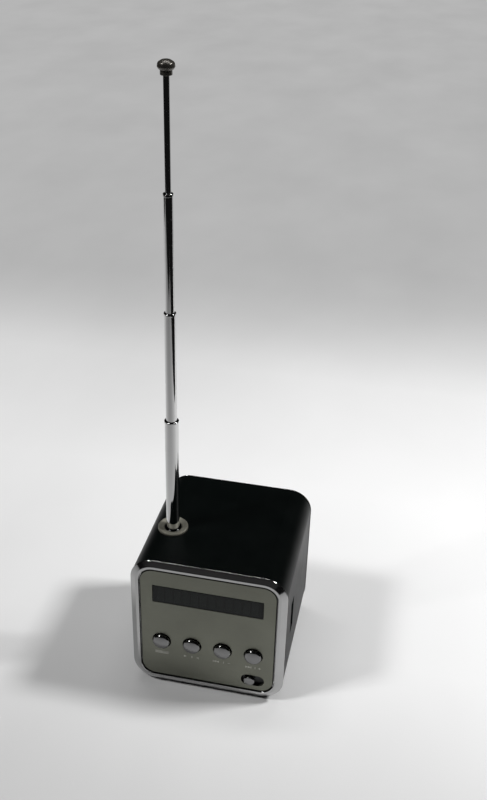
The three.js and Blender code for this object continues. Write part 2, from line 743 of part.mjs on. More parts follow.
[-1, 1].forEach((side, index) => {
  const x = side * CORNER_BOSS_X;
  const z = MID_Z + side * CORNER_BOSS_Z;
  place(
    `rear_bezel_screw_${index + 1}`,
    turnedRound(screw()).translate(x, -PANEL_BACK_Y - THREAD_CLEAR, z),
    steel,
  );
});

// Front panel: a satin metal plate that lies in the bezel, on its ledge

const buttonPlaces = Array.from({ length: BUTTON_COUNT }, (_, index) => (
  [(index - (BUTTON_COUNT - 1) / 2) * BUTTON_PITCH, BUTTON_Z]
));

function panelOutline() {
  return roundedOutline(PANEL_WIDTH, PANEL_HEIGHT, PANEL_RADIUS, 0, MID_Z);
}

function frontPanel() {
  return prismY(panelOutline(), PANEL_Y, PANEL_BACK_Y, [
    rectangle(DISPLAY_WIDTH, DISPLAY_HEIGHT, 0, DISPLAY_Z),
    stadium(SLOT_WIDTH, SLOT_HEIGHT, SLOT_X, SLOT_Z),
    ...buttonPlaces.map(([x, z]) => circle(HOLE_RADIUS, x, z)),
  ]);
}

place('front_panel', frontPanel(), satinMetal);

// Display: a smoked window set in the panel, with the module behind it on its pins

const displayWindow = prismY(
  rectangle(DISPLAY_WIDTH - 2 * WINDOW_GAP, DISPLAY_HEIGHT - 2 * WINDOW_GAP, 0, DISPLAY_Z),
  PANEL_Y + WINDOW_SET_BACK,
  PANEL_Y + WINDOW_SET_BACK + WINDOW_THICKNESS,
);
place('display_window', displayWindow, smokedGlass);

function displayModule() {
  const bodyBackY = FLANGE_Y + MODULE_DEPTH;
  const body = prismY(rectangle(MODULE_WIDTH, MODULE_HEIGHT, 0, DISPLAY_Z), FLANGE_Y, bodyBackY);
  const pins = Array.from({ length: PIN_COUNT }, (_, index) => {
    const x = (index - (PIN_COUNT - 1) / 2) * PIN_PITCH;
    const z = DISPLAY_Z - DISPLAY_HEIGHT / 2;
    return prismY(rectangle(PIN_WIDTH, PIN_WIDTH, x, z), bodyBackY - OVERCUT, BOARD_Y);
  });
  return joined(body, ...pins);
}

place('display_module', displayModule(), blackPlastic);

// Push buttons: a chrome cap with a flange behind the panel and a stem to its switch

// The front of a cap: a straight wall, a rounded shoulder, and a dome of the crown's radius that
// runs into the shoulder without an edge
function capProfile(radius, proud, crown, shoulder) {
  const tipY = PANEL_Y - proud;
  const domeAngle = Math.asin((radius - shoulder) / (crown - shoulder));
  const shoulderY = tipY + crown - (crown - shoulder) * Math.cos(domeAngle);
  const profile = [[radius, FLANGE_Y]];
  for (let step = 0; step < SHOULDER_STEPS; step += 1) {
    const angle = step / SHOULDER_STEPS * (Math.PI / 2 - domeAngle);
    profile.push([
      radius - shoulder * (1 - Math.cos(angle)),
      shoulderY - shoulder * Math.sin(angle),
    ]);
  }
  for (let step = 0; step <= DOME_STEPS; step += 1) {
    const angle = domeAngle * (1 - step / DOME_STEPS);
    profile.push([crown * Math.sin(angle), tipY + crown * (1 - Math.cos(angle))]);
  }
  return profile;
}

function buttonProfile() {
  const stemRadius = STEM_DIAMETER / 2;
  return [
    [0, TACT_Y + STEM_REACH],
    [stemRadius, TACT_Y + STEM_REACH],
    [stemRadius, FLANGE_BACK_Y],
    [BUTTON_FLANGE_RADIUS, FLANGE_BACK_Y],
    [BUTTON_FLANGE_RADIUS, FLANGE_Y],
    ...capProfile(BUTTON_DIAMETER / 2, BUTTON_PROUD, BUTTON_CROWN, BUTTON_SHOULDER),
  ];
}

function tactSwitch(x, z) {
  const body = block(
    x - TACT_WIDTH / 2, x + TACT_WIDTH / 2, TACT_Y, BOARD_Y, z - TACT_WIDTH / 2, z + TACT_WIDTH / 2,
  );
  const bore = pinY(
    STEM_DIAMETER / 2 + CLEAR,
    TACT_Y - OVERCUT,
    TACT_Y + STEM_REACH + BUTTON_TRAVEL + CLEAR,
    x,
    z,
  );
  return cut(body, bore);
}

buttonPlaces.forEach(([x, z], index) => {
  place(`button_${index + 1}`, turnedY(buttonProfile(), HOLE_SIDES, x, z), chrome);
  place(`tact_switch_${index + 1}`, tactSwitch(x, z), blackPlastic);
});

// Power switch: a chrome knob on a black slider, whose stem enters the switch on the board

const knobProfile = [
  [0, FLANGE_Y],
  ...capProfile(KNOB_DIAMETER / 2, KNOB_PROUD, KNOB_CROWN, KNOB_SHOULDER),
];
place('power_switch_knob', turnedY(knobProfile, HOLE_SIDES, KNOB_X, SLOT_Z), chrome);

const SLIDER_BACK_Y = FLANGE_Y + SLIDER_THICKNESS;
const SWITCH_BODY_Y = FRAME_BACK_Y + SWITCH_STAND_OFF;
const SLIDER_STEM_END_Y = SWITCH_BODY_Y + SWITCH_SLOT_DEPTH - CLEAR;
const STEM_SLOT_WIDTH = SLIDER_STEM_WIDTH + SWITCH_TRAVEL + 2 * CLEAR;
const STEM_SLOT_HEIGHT = SLIDER_STEM_HEIGHT + 2 * CLEAR;

function powerSlider() {
  const plate = prismY(
    stadium(SLOT_WIDTH + SWITCH_TRAVEL, SLOT_HEIGHT + 2 * SLIDER_BORDER, KNOB_X, SLOT_Z),
    FLANGE_Y,
    SLIDER_BACK_Y,
  );
  const stem = prismY(
    rectangle(SLIDER_STEM_WIDTH, SLIDER_STEM_HEIGHT, KNOB_X, SLOT_Z),
    SLIDER_BACK_Y - SLIDER_THICKNESS / 2,
    SLIDER_STEM_END_Y,
  );
  return joined(plate, stem);
}

function powerSwitchBody() {
  const can = prismY(
    rectangle(SWITCH_BODY_WIDTH, SWITCH_BODY_HEIGHT, SLOT_X, SLOT_Z),
    SWITCH_BODY_Y,
    BOARD_Y,
  );
  const slot = prismY(
    rectangle(STEM_SLOT_WIDTH, STEM_SLOT_HEIGHT, SLOT_X, SLOT_Z),
    SWITCH_BODY_Y - OVERCUT,
    SWITCH_BODY_Y + SWITCH_SLOT_DEPTH,
  );
  return cut(can, slot);
}

place('power_switch_slider', powerSlider(), blackPlastic);
place('power_switch_body', powerSwitchBody(), steel);

// Front frame: a plate behind the panel that guides the stems and carries the board on posts

const postPlaces = [
  [-POST_X, POST_UPPER_Z], [POST_X, POST_UPPER_Z], [-POST_X, POST_LOWER_Z], [POST_INNER_X, POST_LOWER_Z],
];

function frontFrame() {
  const plate = prismY(
    roundedOutline(
      LEDGE_OPENING_WIDTH - 2 * CLEAR,
      LEDGE_OPENING_HEIGHT - 2 * CLEAR,
      LEDGE_RADIUS - CLEAR,
      0,
      MID_Z,
    ),
    FRAME_Y,
    FRAME_BACK_Y,
    [
      rectangle(MODULE_WIDTH + 2 * CLEAR, MODULE_HEIGHT + 2 * CLEAR, 0, DISPLAY_Z),
      rectangle(STEM_SLOT_WIDTH, STEM_SLOT_HEIGHT, SLOT_X, SLOT_Z),
      ...buttonPlaces.map(([x, z]) => circle(STEM_DIAMETER / 2 + CLEAR, x, z, SMALL_SIDES)),
    ],
  );
  const posts = postPlaces.map(([x, z]) => (
    pinY(POST_DIAMETER / 2, FRAME_BACK_Y - FRAME_THICKNESS / 2, BOARD_Y, x, z)
  ));
  const pilots = postPlaces.map(([x, z]) => (
    pinY(SCREW_RADIUS + THREAD_CLEAR, FRAME_Y - OVERCUT, BOARD_Y + OVERCUT, x, z)
  ));
  const padNotches = [-1, 1].map((side) => (
    pinY(BOSS_RADIUS + CLEAR, FRAME_Y - OVERCUT, FRAME_BACK_Y + OVERCUT, side * BOSS_X, MID_Z, HOLE_SIDES)
  ));
  return cut(joined(plate, ...posts), ...pilots, ...padNotches);
}

place('front_frame', frontFrame(), blackPlastic);

// Front circuit board, screwed to two of the frame's posts

const FRONT_BOARD_WIDTH = INNER_WIDTH - 2 * FRONT_BOARD_INSET;
const FRONT_BOARD_HEIGHT = INNER_HEIGHT - 2 * FRONT_BOARD_INSET;

const frontBoard = prismY(
  rectangle(FRONT_BOARD_WIDTH, FRONT_BOARD_HEIGHT, 0, MID_Z),
  BOARD_Y,
  BOARD_BACK_Y,
  postPlaces.map(([x, z]) => circle(SCREW_RADIUS + THREAD_CLEAR, x, z, SMALL_SIDES)),
);
place('front_board', frontBoard, boardGreen);

[postPlaces[0], postPlaces[3]].forEach(([x, z], index) => {
  place(
    `board_screw_${index + 1}`,
    turnedRound(screw()).translate(x, BOARD_BACK_Y + HEAD_HEIGHT, z),
    steel,
  );
});

// Main circuit board, which stands on the battery holder and carries the tall socket

const MAIN_BOARD_RIGHT_X = INNER_WIDTH / 2 - MAIN_BOARD_INSET_RIGHT;
const mainBoard = block(
  MAIN_BOARD_LEFT_X, MAIN_BOARD_RIGHT_X,
  MAIN_BOARD_Y, MAIN_BOARD_Y + BOARD_THICKNESS,
  HOLDER_TOP_Z + SEAM_GAP, ROOF_Z - MAIN_BOARD_TOP_GAP,
);
place('main_board', mainBoard, boardGreen);

const boardConnector = block(
  CONNECTOR_X - CONNECTOR_WIDTH / 2, CONNECTOR_X + CONNECTOR_WIDTH / 2,
  BOARD_BACK_Y, MAIN_BOARD_Y,
  CONNECTOR_Z - CONNECTOR_HEIGHT / 2, CONNECTOR_Z + CONNECTOR_HEIGHT / 2,
);
place('board_connector', boardConnector, blackPlastic);

function usbShell() {
  const halfWidth = USB_OPENING_WIDTH / 2;
  const halfHeight = USB_OPENING_HEIGHT / 2;
  const outside = block(
    SOCKET_X - USB_DEPTH, SOCKET_X,
    USB_Y - halfWidth - USB_WALL, USB_Y + halfWidth + USB_WALL,
    USB_Z - halfHeight - USB_WALL, USB_Z + halfHeight + USB_WALL,
  );
  const inside = block(
    SOCKET_X - USB_DEPTH + USB_WALL, SOCKET_X + OVERCUT,
    USB_Y - halfWidth, USB_Y + halfWidth,
    USB_Z - halfHeight, USB_Z + halfHeight,
  );
  return cut(outside, inside);
}

const usbTongue = block(
  SOCKET_X - USB_DEPTH + USB_WALL, SOCKET_X - USB_TONGUE_SET_BACK,
  USB_Y - USB_TONGUE_THICKNESS / 2, USB_Y + USB_TONGUE_THICKNESS / 2,
  USB_Z - USB_TONGUE_HEIGHT / 2, USB_Z + USB_TONGUE_HEIGHT / 2,
);
place('usb_shell', usbShell(), steel);
place('usb_tongue', usbTongue, whitePlastic);

// Left-hand sockets on the back of the front board

function cardSocket() {
  const middleY = BOARD_BACK_Y + CARD_THICKNESS / 2;
  const body = block(
    -SOCKET_X, -SOCKET_X + CARD_DEPTH,
    BOARD_BACK_Y, BOARD_BACK_Y + CARD_THICKNESS,
    CARD_Z - CARD_HEIGHT / 2, CARD_Z + CARD_HEIGHT / 2,
  );
  const slot = block(
    -SOCKET_X - OVERCUT, -SOCKET_X + CARD_DEPTH - 2 * CARD_SLOT_WIDTH,
    middleY - CARD_SLOT_WIDTH / 2, middleY + CARD_SLOT_WIDTH / 2,
    CARD_Z - CARD_SLOT_HEIGHT / 2, CARD_Z + CARD_SLOT_HEIGHT / 2,
  );
  return cut(body, slot);
}

function chargeSocket() {
  const middleY = BOARD_BACK_Y + CHARGE_THICKNESS / 2;
  const body = block(
    -SOCKET_X, -SOCKET_X + CHARGE_DEPTH,
    BOARD_BACK_Y, BOARD_BACK_Y + CHARGE_THICKNESS,
    CHARGE_Z - CHARGE_HEIGHT / 2, CHARGE_Z + CHARGE_HEIGHT / 2,
  );
  const mouth = block(
    -SOCKET_X - OVERCUT, -SOCKET_X + CHARGE_DEPTH - CHARGE_THICKNESS / 2,
    BOARD_BACK_Y + CHARGE_WALL, BOARD_BACK_Y + CHARGE_THICKNESS - CHARGE_WALL,
    CHARGE_Z - CHARGE_HEIGHT / 2 + CHARGE_WALL, CHARGE_Z + CHARGE_HEIGHT / 2 - CHARGE_WALL,
  );
  const tongue = block(
    -SOCKET_X + CHARGE_WALL, -SOCKET_X + CHARGE_DEPTH - CHARGE_WALL,
    middleY - CHARGE_TONGUE_THICKNESS / 2, middleY + CHARGE_TONGUE_THICKNESS / 2,
    CHARGE_Z - CHARGE_TONGUE_HEIGHT / 2, CHARGE_Z + CHARGE_TONGUE_HEIGHT / 2,
  );
  return joined(cut(body, mouth), tongue);
}

function audioSocket() {
  const middleY = BOARD_BACK_Y + AUDIO_THICKNESS / 2;
  const body = block(
    -SOCKET_X, -SOCKET_X + AUDIO_DEPTH,
    BOARD_BACK_Y, BOARD_BACK_Y + AUDIO_THICKNESS,
    AUDIO_Z - AUDIO_HEIGHT / 2, AUDIO_Z + AUDIO_HEIGHT / 2,
  );
  const barrel = pinX(
    AUDIO_BARREL_DIAMETER / 2,
    -SHELL_WIDTH / 2 + CLEAR,
    -SOCKET_X + AUDIO_DEPTH / 2,
    middleY,
    AUDIO_Z,
    HOLE_SIDES,
  );
  const bore = pinX(
    AUDIO_BORE_DIAMETER / 2,
    -SHELL_WIDTH / 2 - OVERCUT,
    -SOCKET_X + AUDIO_DEPTH - AUDIO_BORE_DIAMETER / 2,
    middleY,
    AUDIO_Z,
    HOLE_SIDES,
  );
  return cut(joined(body, barrel), bore);
}

place('card_socket', cardSocket(), steel);
place('charge_socket', chargeSocket(), steel);
place('audio_socket', audioSocket(), blackPlastic);

// Aerial: a fixed outer tube, three sliding tubes and a rod with a knob

const mouthZ = AERIAL_REACH.map((reach, stage) => (
  AERIAL_REACH.slice(0, stage).reduce((sum, below) => sum + below, TOP_Z + reach)
));
const stageBottomZ = mouthZ.map((topZ, stage) => topZ - AERIAL_OVERLAP[stage]);
const ROD_TOP_Z = mouthZ[mouthZ.length - 1] + ROD_REACH;
const mouthRadius = [...AERIAL_RADIUS.slice(1), ROD_RADIUS].map((radius) => radius + AERIAL_CLEAR);

function mouthProfile(stage) {
  const topZ = mouthZ[stage];
  const beadRadius = AERIAL_RADIUS[stage] + BEAD_PROUD;
  return [
    [AERIAL_RADIUS[stage], topZ - BEAD_HEIGHT],
    [beadRadius, topZ - BEAD_HEIGHT * 0.8],
    [beadRadius, topZ - BEAD_HEIGHT * 0.25],
    [AERIAL_RADIUS[stage], topZ],
    [mouthRadius[stage], topZ],
    [mouthRadius[stage], topZ - BEAD_HEIGHT * 0.5],
    [AERIAL_BORE_RADIUS[stage], topZ - BEAD_HEIGHT],
  ];
}

function outerTube() {
  const lowZ = AERIAL_SOCKET_Z + AERIAL_SOCKET_FLOOR + SEAM_GAP;
  return turnedZ([
    [AERIAL_BORE_RADIUS[0], lowZ],
    [AERIAL_RADIUS[0], lowZ],
    ...mouthProfile(0),
    [AERIAL_BORE_RADIUS[0], lowZ],
  ], AERIAL_SIDES, AERIAL_X, AERIAL_Y);
}

function slidingTube(stage) {
  const lowZ = stageBottomZ[stage - 1];
  const bushRadius = AERIAL_BORE_RADIUS[stage - 1] - AERIAL_CLEAR;
  return turnedZ([
    [AERIAL_BORE_RADIUS[stage], lowZ],
    [bushRadius, lowZ],
    [bushRadius, lowZ + BUSH_HEIGHT],
    [AERIAL_RADIUS[stage], lowZ + BUSH_HEIGHT + CLEAR],
    ...mouthProfile(stage),
    [AERIAL_BORE_RADIUS[stage], lowZ],
  ], AERIAL_SIDES, AERIAL_X, AERIAL_Y);
}

function aerialRod() {
  const lowZ = stageBottomZ[3];
  const bushRadius = AERIAL_BORE_RADIUS[3] - AERIAL_CLEAR;
  return turnedZ([
    [0, lowZ],
    [bushRadius, lowZ],
    [bushRadius, lowZ + BUSH_HEIGHT],
    [ROD_RADIUS, lowZ + BUSH_HEIGHT + CLEAR],
    [ROD_RADIUS, ROD_TOP_Z],
    [0, ROD_TOP_Z],
  ], AERIAL_SIDES, AERIAL_X, AERIAL_Y);
}

function aerialKnob() {
  const neckZ = ROD_TOP_Z + COLLAR_HEIGHT;
  return turnedZ([
    [0, ROD_TOP_Z],
    [COLLAR_RADIUS, ROD_TOP_Z],
    [COLLAR_RADIUS, neckZ],
    [TIP_RADIUS * 0.85, neckZ + TIP_HEIGHT * 0.12],
    [TIP_RADIUS, neckZ + TIP_HEIGHT * 0.35],
    [TIP_RADIUS * 0.96, neckZ + TIP_HEIGHT * 0.6],
    [TIP_RADIUS * 0.72, neckZ + TIP_HEIGHT * 0.88],
    [TIP_RADIUS * 0.35, neckZ + TIP_HEIGHT],
    [0, neckZ + TIP_HEIGHT],
  ], AERIAL_SIDES, AERIAL_X, AERIAL_Y);
}

place('aerial_outer_tube', outerTube(), chrome);
for (let stage = 1; stage < AERIAL_RADIUS.length; stage += 1) {
  place(`aerial_tube_${stage}`, slidingTube(stage), chrome);
}
place('aerial_rod', aerialRod(), chrome);
place('aerial_knob', aerialKnob(), chrome);

// Aerial fixings: a dished rosette with a threaded barrel, its nut, the foot socket, the contact

function rosette() {
  const radius = ROSETTE_DIAMETER / 2;
  const boreRadius = AERIAL_RADIUS[0] + BEAD_PROUD + THREAD_CLEAR;
  const rimInner = radius - ROSETTE_RIM;
  return turnedZ([
    [boreRadius, TOP_Z - BARREL_LENGTH],
    [BARREL_RADIUS, TOP_Z - BARREL_LENGTH],
    [BARREL_RADIUS, TOP_Z],
    [radius, TOP_Z],
    [radius, TOP_Z + ROSETTE_HEIGHT * 0.55],
    [radius - ROSETTE_RIM * 0.4, TOP_Z + ROSETTE_HEIGHT],
    [rimInner, TOP_Z + ROSETTE_HEIGHT * 0.9],
    [boreRadius, TOP_Z + ROSETTE_HEIGHT * 0.35],
    [boreRadius, TOP_Z - BARREL_LENGTH],
  ], SPEAKER_SIDES, AERIAL_X, AERIAL_Y);
}

const nutTopZ = ROOF_Z - NUT_SEAT_DEPTH - SEAM_GAP;
const aerialNut = prismZ(circle(NUT_RADIUS, AERIAL_X, AERIAL_Y, 6), nutTopZ - NUT_HEIGHT, nutTopZ, [
  circle(BARREL_RADIUS + CLEAR, AERIAL_X, AERIAL_Y),
]);

function footSocket() {
  const highZ = AERIAL_SOCKET_Z + AERIAL_SOCKET_HEIGHT;
  const cup = pinZ(AERIAL_SOCKET_RADIUS, AERIAL_SOCKET_Z, highZ, AERIAL_X, AERIAL_Y, HOLE_SIDES);
  const bore = pinZ(
    AERIAL_RADIUS[0] + CLEAR,
    AERIAL_SOCKET_Z + AERIAL_SOCKET_FLOOR,
    highZ + OVERCUT,
    AERIAL_X,
    AERIAL_Y,
    HOLE_SIDES,
  );
  return cut(cup, bore);
}

const contactLeftX = AERIAL_X + AERIAL_RADIUS[0];
const aerialContact = block(
  contactLeftX, MAIN_BOARD_LEFT_X + CONTACT_REACH,
  MAIN_BOARD_Y - CONTACT_THICKNESS, MAIN_BOARD_Y,
  MID_Z - CONTACT_HEIGHT / 2, MID_Z + CONTACT_HEIGHT / 2,
);

place('aerial_rosette', rosette(), chrome);
place('aerial_nut', aerialNut, brass);
place('aerial_foot', footSocket(), blackPlastic);
place('aerial_contact', aerialContact, brass);

// Battery: a flat cell in a holder over a doorway in the underside

function batteryHolder() {
  const outside = block(
    BATTERY_X - BAY_WIDTH / 2 - HOLDER_WALL, BATTERY_X + BAY_WIDTH / 2 + HOLDER_WALL,
    BAY_FRONT_Y - HOLDER_WALL, BAY_BACK_Y + HOLDER_WALL,
    HOLDER_FLOOR_Z, HOLDER_TOP_Z,
  );
  const bay = block(
    BATTERY_X - BAY_WIDTH / 2, BATTERY_X + BAY_WIDTH / 2,
    BAY_FRONT_Y, BAY_BACK_Y,
    HOLDER_FLOOR_Z - OVERCUT, HOLDER_ROOF_Z,
  );
  const boss = pinZ(
    HOLDER_BOSS_RADIUS, HOLDER_FLOOR_Z, HOLDER_TOP_Z - HOLDER_ROOF / 2, BATTERY_X, DOOR_SCREW_Y,
  );
  const pilot = pinZ(
    SCREW_RADIUS + THREAD_CLEAR, HOLDER_FLOOR_Z - OVERCUT, HOLDER_ROOF_Z, BATTERY_X, DOOR_SCREW_Y,
  );
  return cut(joined(cut(outside, bay), boss), pilot);
}

const batteryCell = block(
  BATTERY_X - BATTERY_WIDTH / 2, BATTERY_X + BATTERY_WIDTH / 2,
  BATTERY_Y - BATTERY_LENGTH / 2, BATTERY_Y + BATTERY_LENGTH / 2,
  BATTERY_Z, BATTERY_Z + BATTERY_THICKNESS,
);

const DOOR_SCREW_LENGTH = HOLDER_ROOF_Z - DOOR_Z - HEAD_HEIGHT - CLEAR;

function batteryDoor() {
  const middleY = (BAY_FRONT_Y + BAY_BACK_Y) / 2;
  const plate = prismZ(
    rectangle(BAY_WIDTH - 2 * CLEAR, BAY_BACK_Y - BAY_FRONT_Y - 2 * CLEAR, BATTERY_X, middleY),
    DOOR_Z,
    DOOR_Z + DOOR_THICKNESS,
    [circle(SCREW_RADIUS + THREAD_CLEAR, BATTERY_X, DOOR_SCREW_Y, SMALL_SIDES)],
  );
  const headSeat = pinZ(
    HEAD_RADIUS + THREAD_CLEAR, DOOR_Z - OVERCUT, DOOR_Z + DOOR_THICKNESS / 2, BATTERY_X, DOOR_SCREW_Y,
  );
  return cut(plate, headSeat);
}

function doorScrew() {
  const headHeight = DOOR_THICKNESS / 2 - THREAD_CLEAR;
  const lowZ = DOOR_Z + THREAD_CLEAR;
  const body = turnedZ([
    [0, lowZ], [HEAD_RADIUS, lowZ], [HEAD_RADIUS, lowZ + headHeight],
    [SCREW_RADIUS, lowZ + headHeight], [SCREW_RADIUS, lowZ + DOOR_SCREW_LENGTH],
    [0, lowZ + DOOR_SCREW_LENGTH],
  ], SMALL_SIDES, BATTERY_X, DOOR_SCREW_Y);
  const slot = block(
    BATTERY_X - HEAD_SLOT_WIDTH / 2, BATTERY_X + HEAD_SLOT_WIDTH / 2,
    DOOR_SCREW_Y - 2 * HEAD_RADIUS, DOOR_SCREW_Y + 2 * HEAD_RADIUS,
    lowZ - OVERCUT, lowZ + headHeight / 2,
  );
  return cut(body, slot);
}

place('battery_holder', batteryHolder(), blackPlastic);
place('battery_cell', batteryCell, cellWrap);
place('battery_door', batteryDoor(), blackPlastic);
place('battery_door_screw', doorScrew(), steel);

// Loudspeaker, listed from its magnet to its gasket

const BAFFLE_INNER_Y = -(PANEL_BACK_Y + BAFFLE_THICKNESS);
const FLANGE_REAR_Y = BAFFLE_INNER_Y - GASKET_THICKNESS;
const BASKET_FLOOR_Y = FLANGE_REAR_Y - BASKET_DEPTH - FLANGE_DEPTH;
const TOP_PLATE_Y = BASKET_FLOOR_Y - PLATE_THICKNESS;
const MAGNET_Y = TOP_PLATE_Y - MAGNET_THICKNESS;
const YOKE_Y = MAGNET_Y - PLATE_THICKNESS;
const CONE_RIM_Y = FLANGE_REAR_Y - FLANGE_DEPTH / 2;
const CONE_NECK_Y = BASKET_FLOOR_Y + CONE_NECK_GAP;
const COIL_END_Y = CONE_NECK_Y + CONE_THICKNESS;
const CONE_NECK_RADIUS = COIL_RADIUS + CLEAR / 2;
const BASKET_RIM_RADIUS = CONE_RADIUS + SURROUND_WIDTH + CLEAR;
const BASKET_STEP_Y = CONE_RIM_Y - CONE_STROKE - CLEAR;

const yoke = turnedY([
  [0, YOKE_Y],
  [PLATE_RADIUS, YOKE_Y],
  [PLATE_RADIUS, MAGNET_Y],
  [POLE_RADIUS, MAGNET_Y],
  [POLE_RADIUS, BASKET_FLOOR_Y],
  [0, BASKET_FLOOR_Y],
], SPEAKER_SIDES);

const basket = turnedY([
  [COIL_RADIUS + 2 * CLEAR, BASKET_FLOOR_Y],
  [BASKET_FLOOR_RADIUS, BASKET_FLOOR_Y],
  [BASKET_RIM_RADIUS + BASKET_WALL, BASKET_STEP_Y],
  [BASKET_RIM_RADIUS + BASKET_WALL, FLANGE_REAR_Y - FLANGE_DEPTH],
  [SPEAKER_RADIUS, FLANGE_REAR_Y - FLANGE_DEPTH],
  [SPEAKER_RADIUS, FLANGE_REAR_Y],
  [BASKET_RIM_RADIUS, FLANGE_REAR_Y],
  [BASKET_RIM_RADIUS, BASKET_STEP_Y],
  [BASKET_FLOOR_RADIUS - BASKET_WALL, BASKET_FLOOR_Y + BASKET_WALL],
  [COIL_RADIUS + 2 * CLEAR, BASKET_FLOOR_Y + BASKET_WALL],
  [COIL_RADIUS + 2 * CLEAR, BASKET_FLOOR_Y],
], SPEAKER_SIDES);

const cone = turnedY([
  [CONE_NECK_RADIUS, CONE_NECK_Y],
  [CONE_RADIUS - CLEAR, CONE_RIM_Y - CONE_THICKNESS],
  [CONE_RADIUS - CLEAR, CONE_RIM_Y],
  [CONE_NECK_RADIUS, CONE_NECK_Y + CONE_THICKNESS],
  [CONE_NECK_RADIUS, CONE_NECK_Y],
], SPEAKER_SIDES);

function dustCapProfile() {
  const slope = (CONE_RIM_Y - CONE_NECK_Y - CONE_THICKNESS) / (CONE_RADIUS - CLEAR - CONE_NECK_RADIUS);
  const seatY = CONE_NECK_Y + CONE_THICKNESS + slope * (DUST_CAP_RADIUS - CONE_NECK_RADIUS) + CLEAR / 2;
  const outer = [];
  const inner = [];
  for (let step = 0; step <= ARC_STEPS; step += 1) {
    const angle = step / ARC_STEPS * Math.PI / 2;
    outer.push([
      DUST_CAP_RADIUS * Math.cos(angle),
      seatY + COIL_WALL + DUST_CAP_HEIGHT * Math.sin(angle),
    ]);
    inner.unshift([DUST_CAP_RADIUS * Math.cos(angle), seatY + DUST_CAP_HEIGHT * Math.sin(angle)]);
  }
  return [...inner, ...outer];
}

function surroundProfile() {
  const middle = CONE_RADIUS + SURROUND_WIDTH / 2;
  const outer = [];
  const inner = [];
  for (let step = 0; step <= ARC_STEPS; step += 1) {
    const angle = Math.PI * step / ARC_STEPS;
    outer.push([
      middle + (SURROUND_WIDTH / 2 - COIL_WALL / 2) * Math.cos(angle),
      CONE_RIM_Y + (SURROUND_WIDTH / 2) * Math.sin(angle),
    ]);
    inner.unshift([
      middle + (SURROUND_WIDTH / 2 - COIL_WALL * 1.5) * Math.cos(angle),
      CONE_RIM_Y + (SURROUND_WIDTH / 2 - COIL_WALL) * Math.sin(angle),
    ]);
  }
  return [...outer, ...inner, outer[0]];
}

place('speaker_yoke', yoke, steel);
place('speaker_magnet', turnedY(
  ringProfile(MAGNET_BORE_RADIUS, MAGNET_RADIUS, MAGNET_Y, TOP_PLATE_Y),
  SPEAKER_SIDES,
), ferrite);
place('speaker_top_plate', turnedY(
  ringProfile(COIL_RADIUS + CLEAR, PLATE_RADIUS, TOP_PLATE_Y, BASKET_FLOOR_Y),
  SPEAKER_SIDES,
), steel);
place('speaker_basket', basket, steel);
place('speaker_coil', turnedY(
  ringProfile(COIL_RADIUS - COIL_WALL, COIL_RADIUS, COIL_END_Y - COIL_LENGTH, COIL_END_Y),
  SPEAKER_SIDES,
), copper);
place('speaker_cone', cone, paper);
place('speaker_dust_cap', turnedY(dustCapProfile(), SPEAKER_SIDES), paper);
place('speaker_surround', turnedY(surroundProfile(), SPEAKER_SIDES), rubber);
place('speaker_gasket', turnedY(
  ringProfile(SPEAKER_RADIUS - GASKET_WIDTH, SPEAKER_RADIUS, FLANGE_REAR_Y, BAFFLE_INNER_Y),
  SPEAKER_SIDES,
), rubber);

// Rear grille: a plate like the front panel, with rings of round holes over the cone

function rearGrille() {
  const holes = [circle(GRILLE_HOLE / 2, 0, MID_Z, GRILLE_SIDES)];
  for (let ring = 1; ring <= GRILLE_RINGS; ring += 1) {
    const count = 6 * ring;
    for (let index = 0; index < count; index += 1) {
      const angle = index / count * Math.PI * 2;
      const x = ring * GRILLE_PITCH * Math.cos(angle);
      const z = MID_Z + ring * GRILLE_PITCH * Math.sin(angle);
      holes.push(circle(GRILLE_HOLE / 2, x, z, GRILLE_SIDES));
    }
  }
  return prismY(panelOutline(), -PANEL_BACK_Y, -PANEL_Y, holes);
}

place('rear_grille', rearGrille(), satinMetal);

// Feet: rubber discs on the shell's underside

const footPlaces = [[-1, -1], [1, -1], [-1, 1], [1, 1]].map(([sideX, sideY]) => (
  [sideX * (CASE_WIDTH / 2 - FOOT_INSET_X), sideY * (CASE_DEPTH / 2 - FOOT_INSET_Y)]
));
footPlaces.forEach(([x, y], index) => {
  place(`foot_${index + 1}`, pinZ(FOOT_DIAMETER / 2, -FOOT_GAP, SHELL_STEP, x, y, HOLE_SIDES), rubber);
});

export default radio;
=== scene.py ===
from math import asin, cos, pi, radians, sin, tan

import bmesh
import bpy
from mathutils import Matrix, Vector


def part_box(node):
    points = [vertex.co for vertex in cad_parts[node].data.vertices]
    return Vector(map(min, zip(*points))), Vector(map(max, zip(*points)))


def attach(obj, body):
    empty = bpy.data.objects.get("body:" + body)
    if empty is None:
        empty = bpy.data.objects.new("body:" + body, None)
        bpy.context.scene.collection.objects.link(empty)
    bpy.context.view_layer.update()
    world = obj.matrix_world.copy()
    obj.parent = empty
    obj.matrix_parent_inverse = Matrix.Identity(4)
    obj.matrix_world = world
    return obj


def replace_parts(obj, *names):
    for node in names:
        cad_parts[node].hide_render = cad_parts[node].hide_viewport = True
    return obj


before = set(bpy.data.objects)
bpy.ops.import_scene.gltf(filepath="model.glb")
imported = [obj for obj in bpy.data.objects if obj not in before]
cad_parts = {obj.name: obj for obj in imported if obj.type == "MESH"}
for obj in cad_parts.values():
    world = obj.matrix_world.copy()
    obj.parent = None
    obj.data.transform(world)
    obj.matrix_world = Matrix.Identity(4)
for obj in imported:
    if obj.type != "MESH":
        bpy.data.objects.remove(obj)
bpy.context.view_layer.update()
MM = 0.001

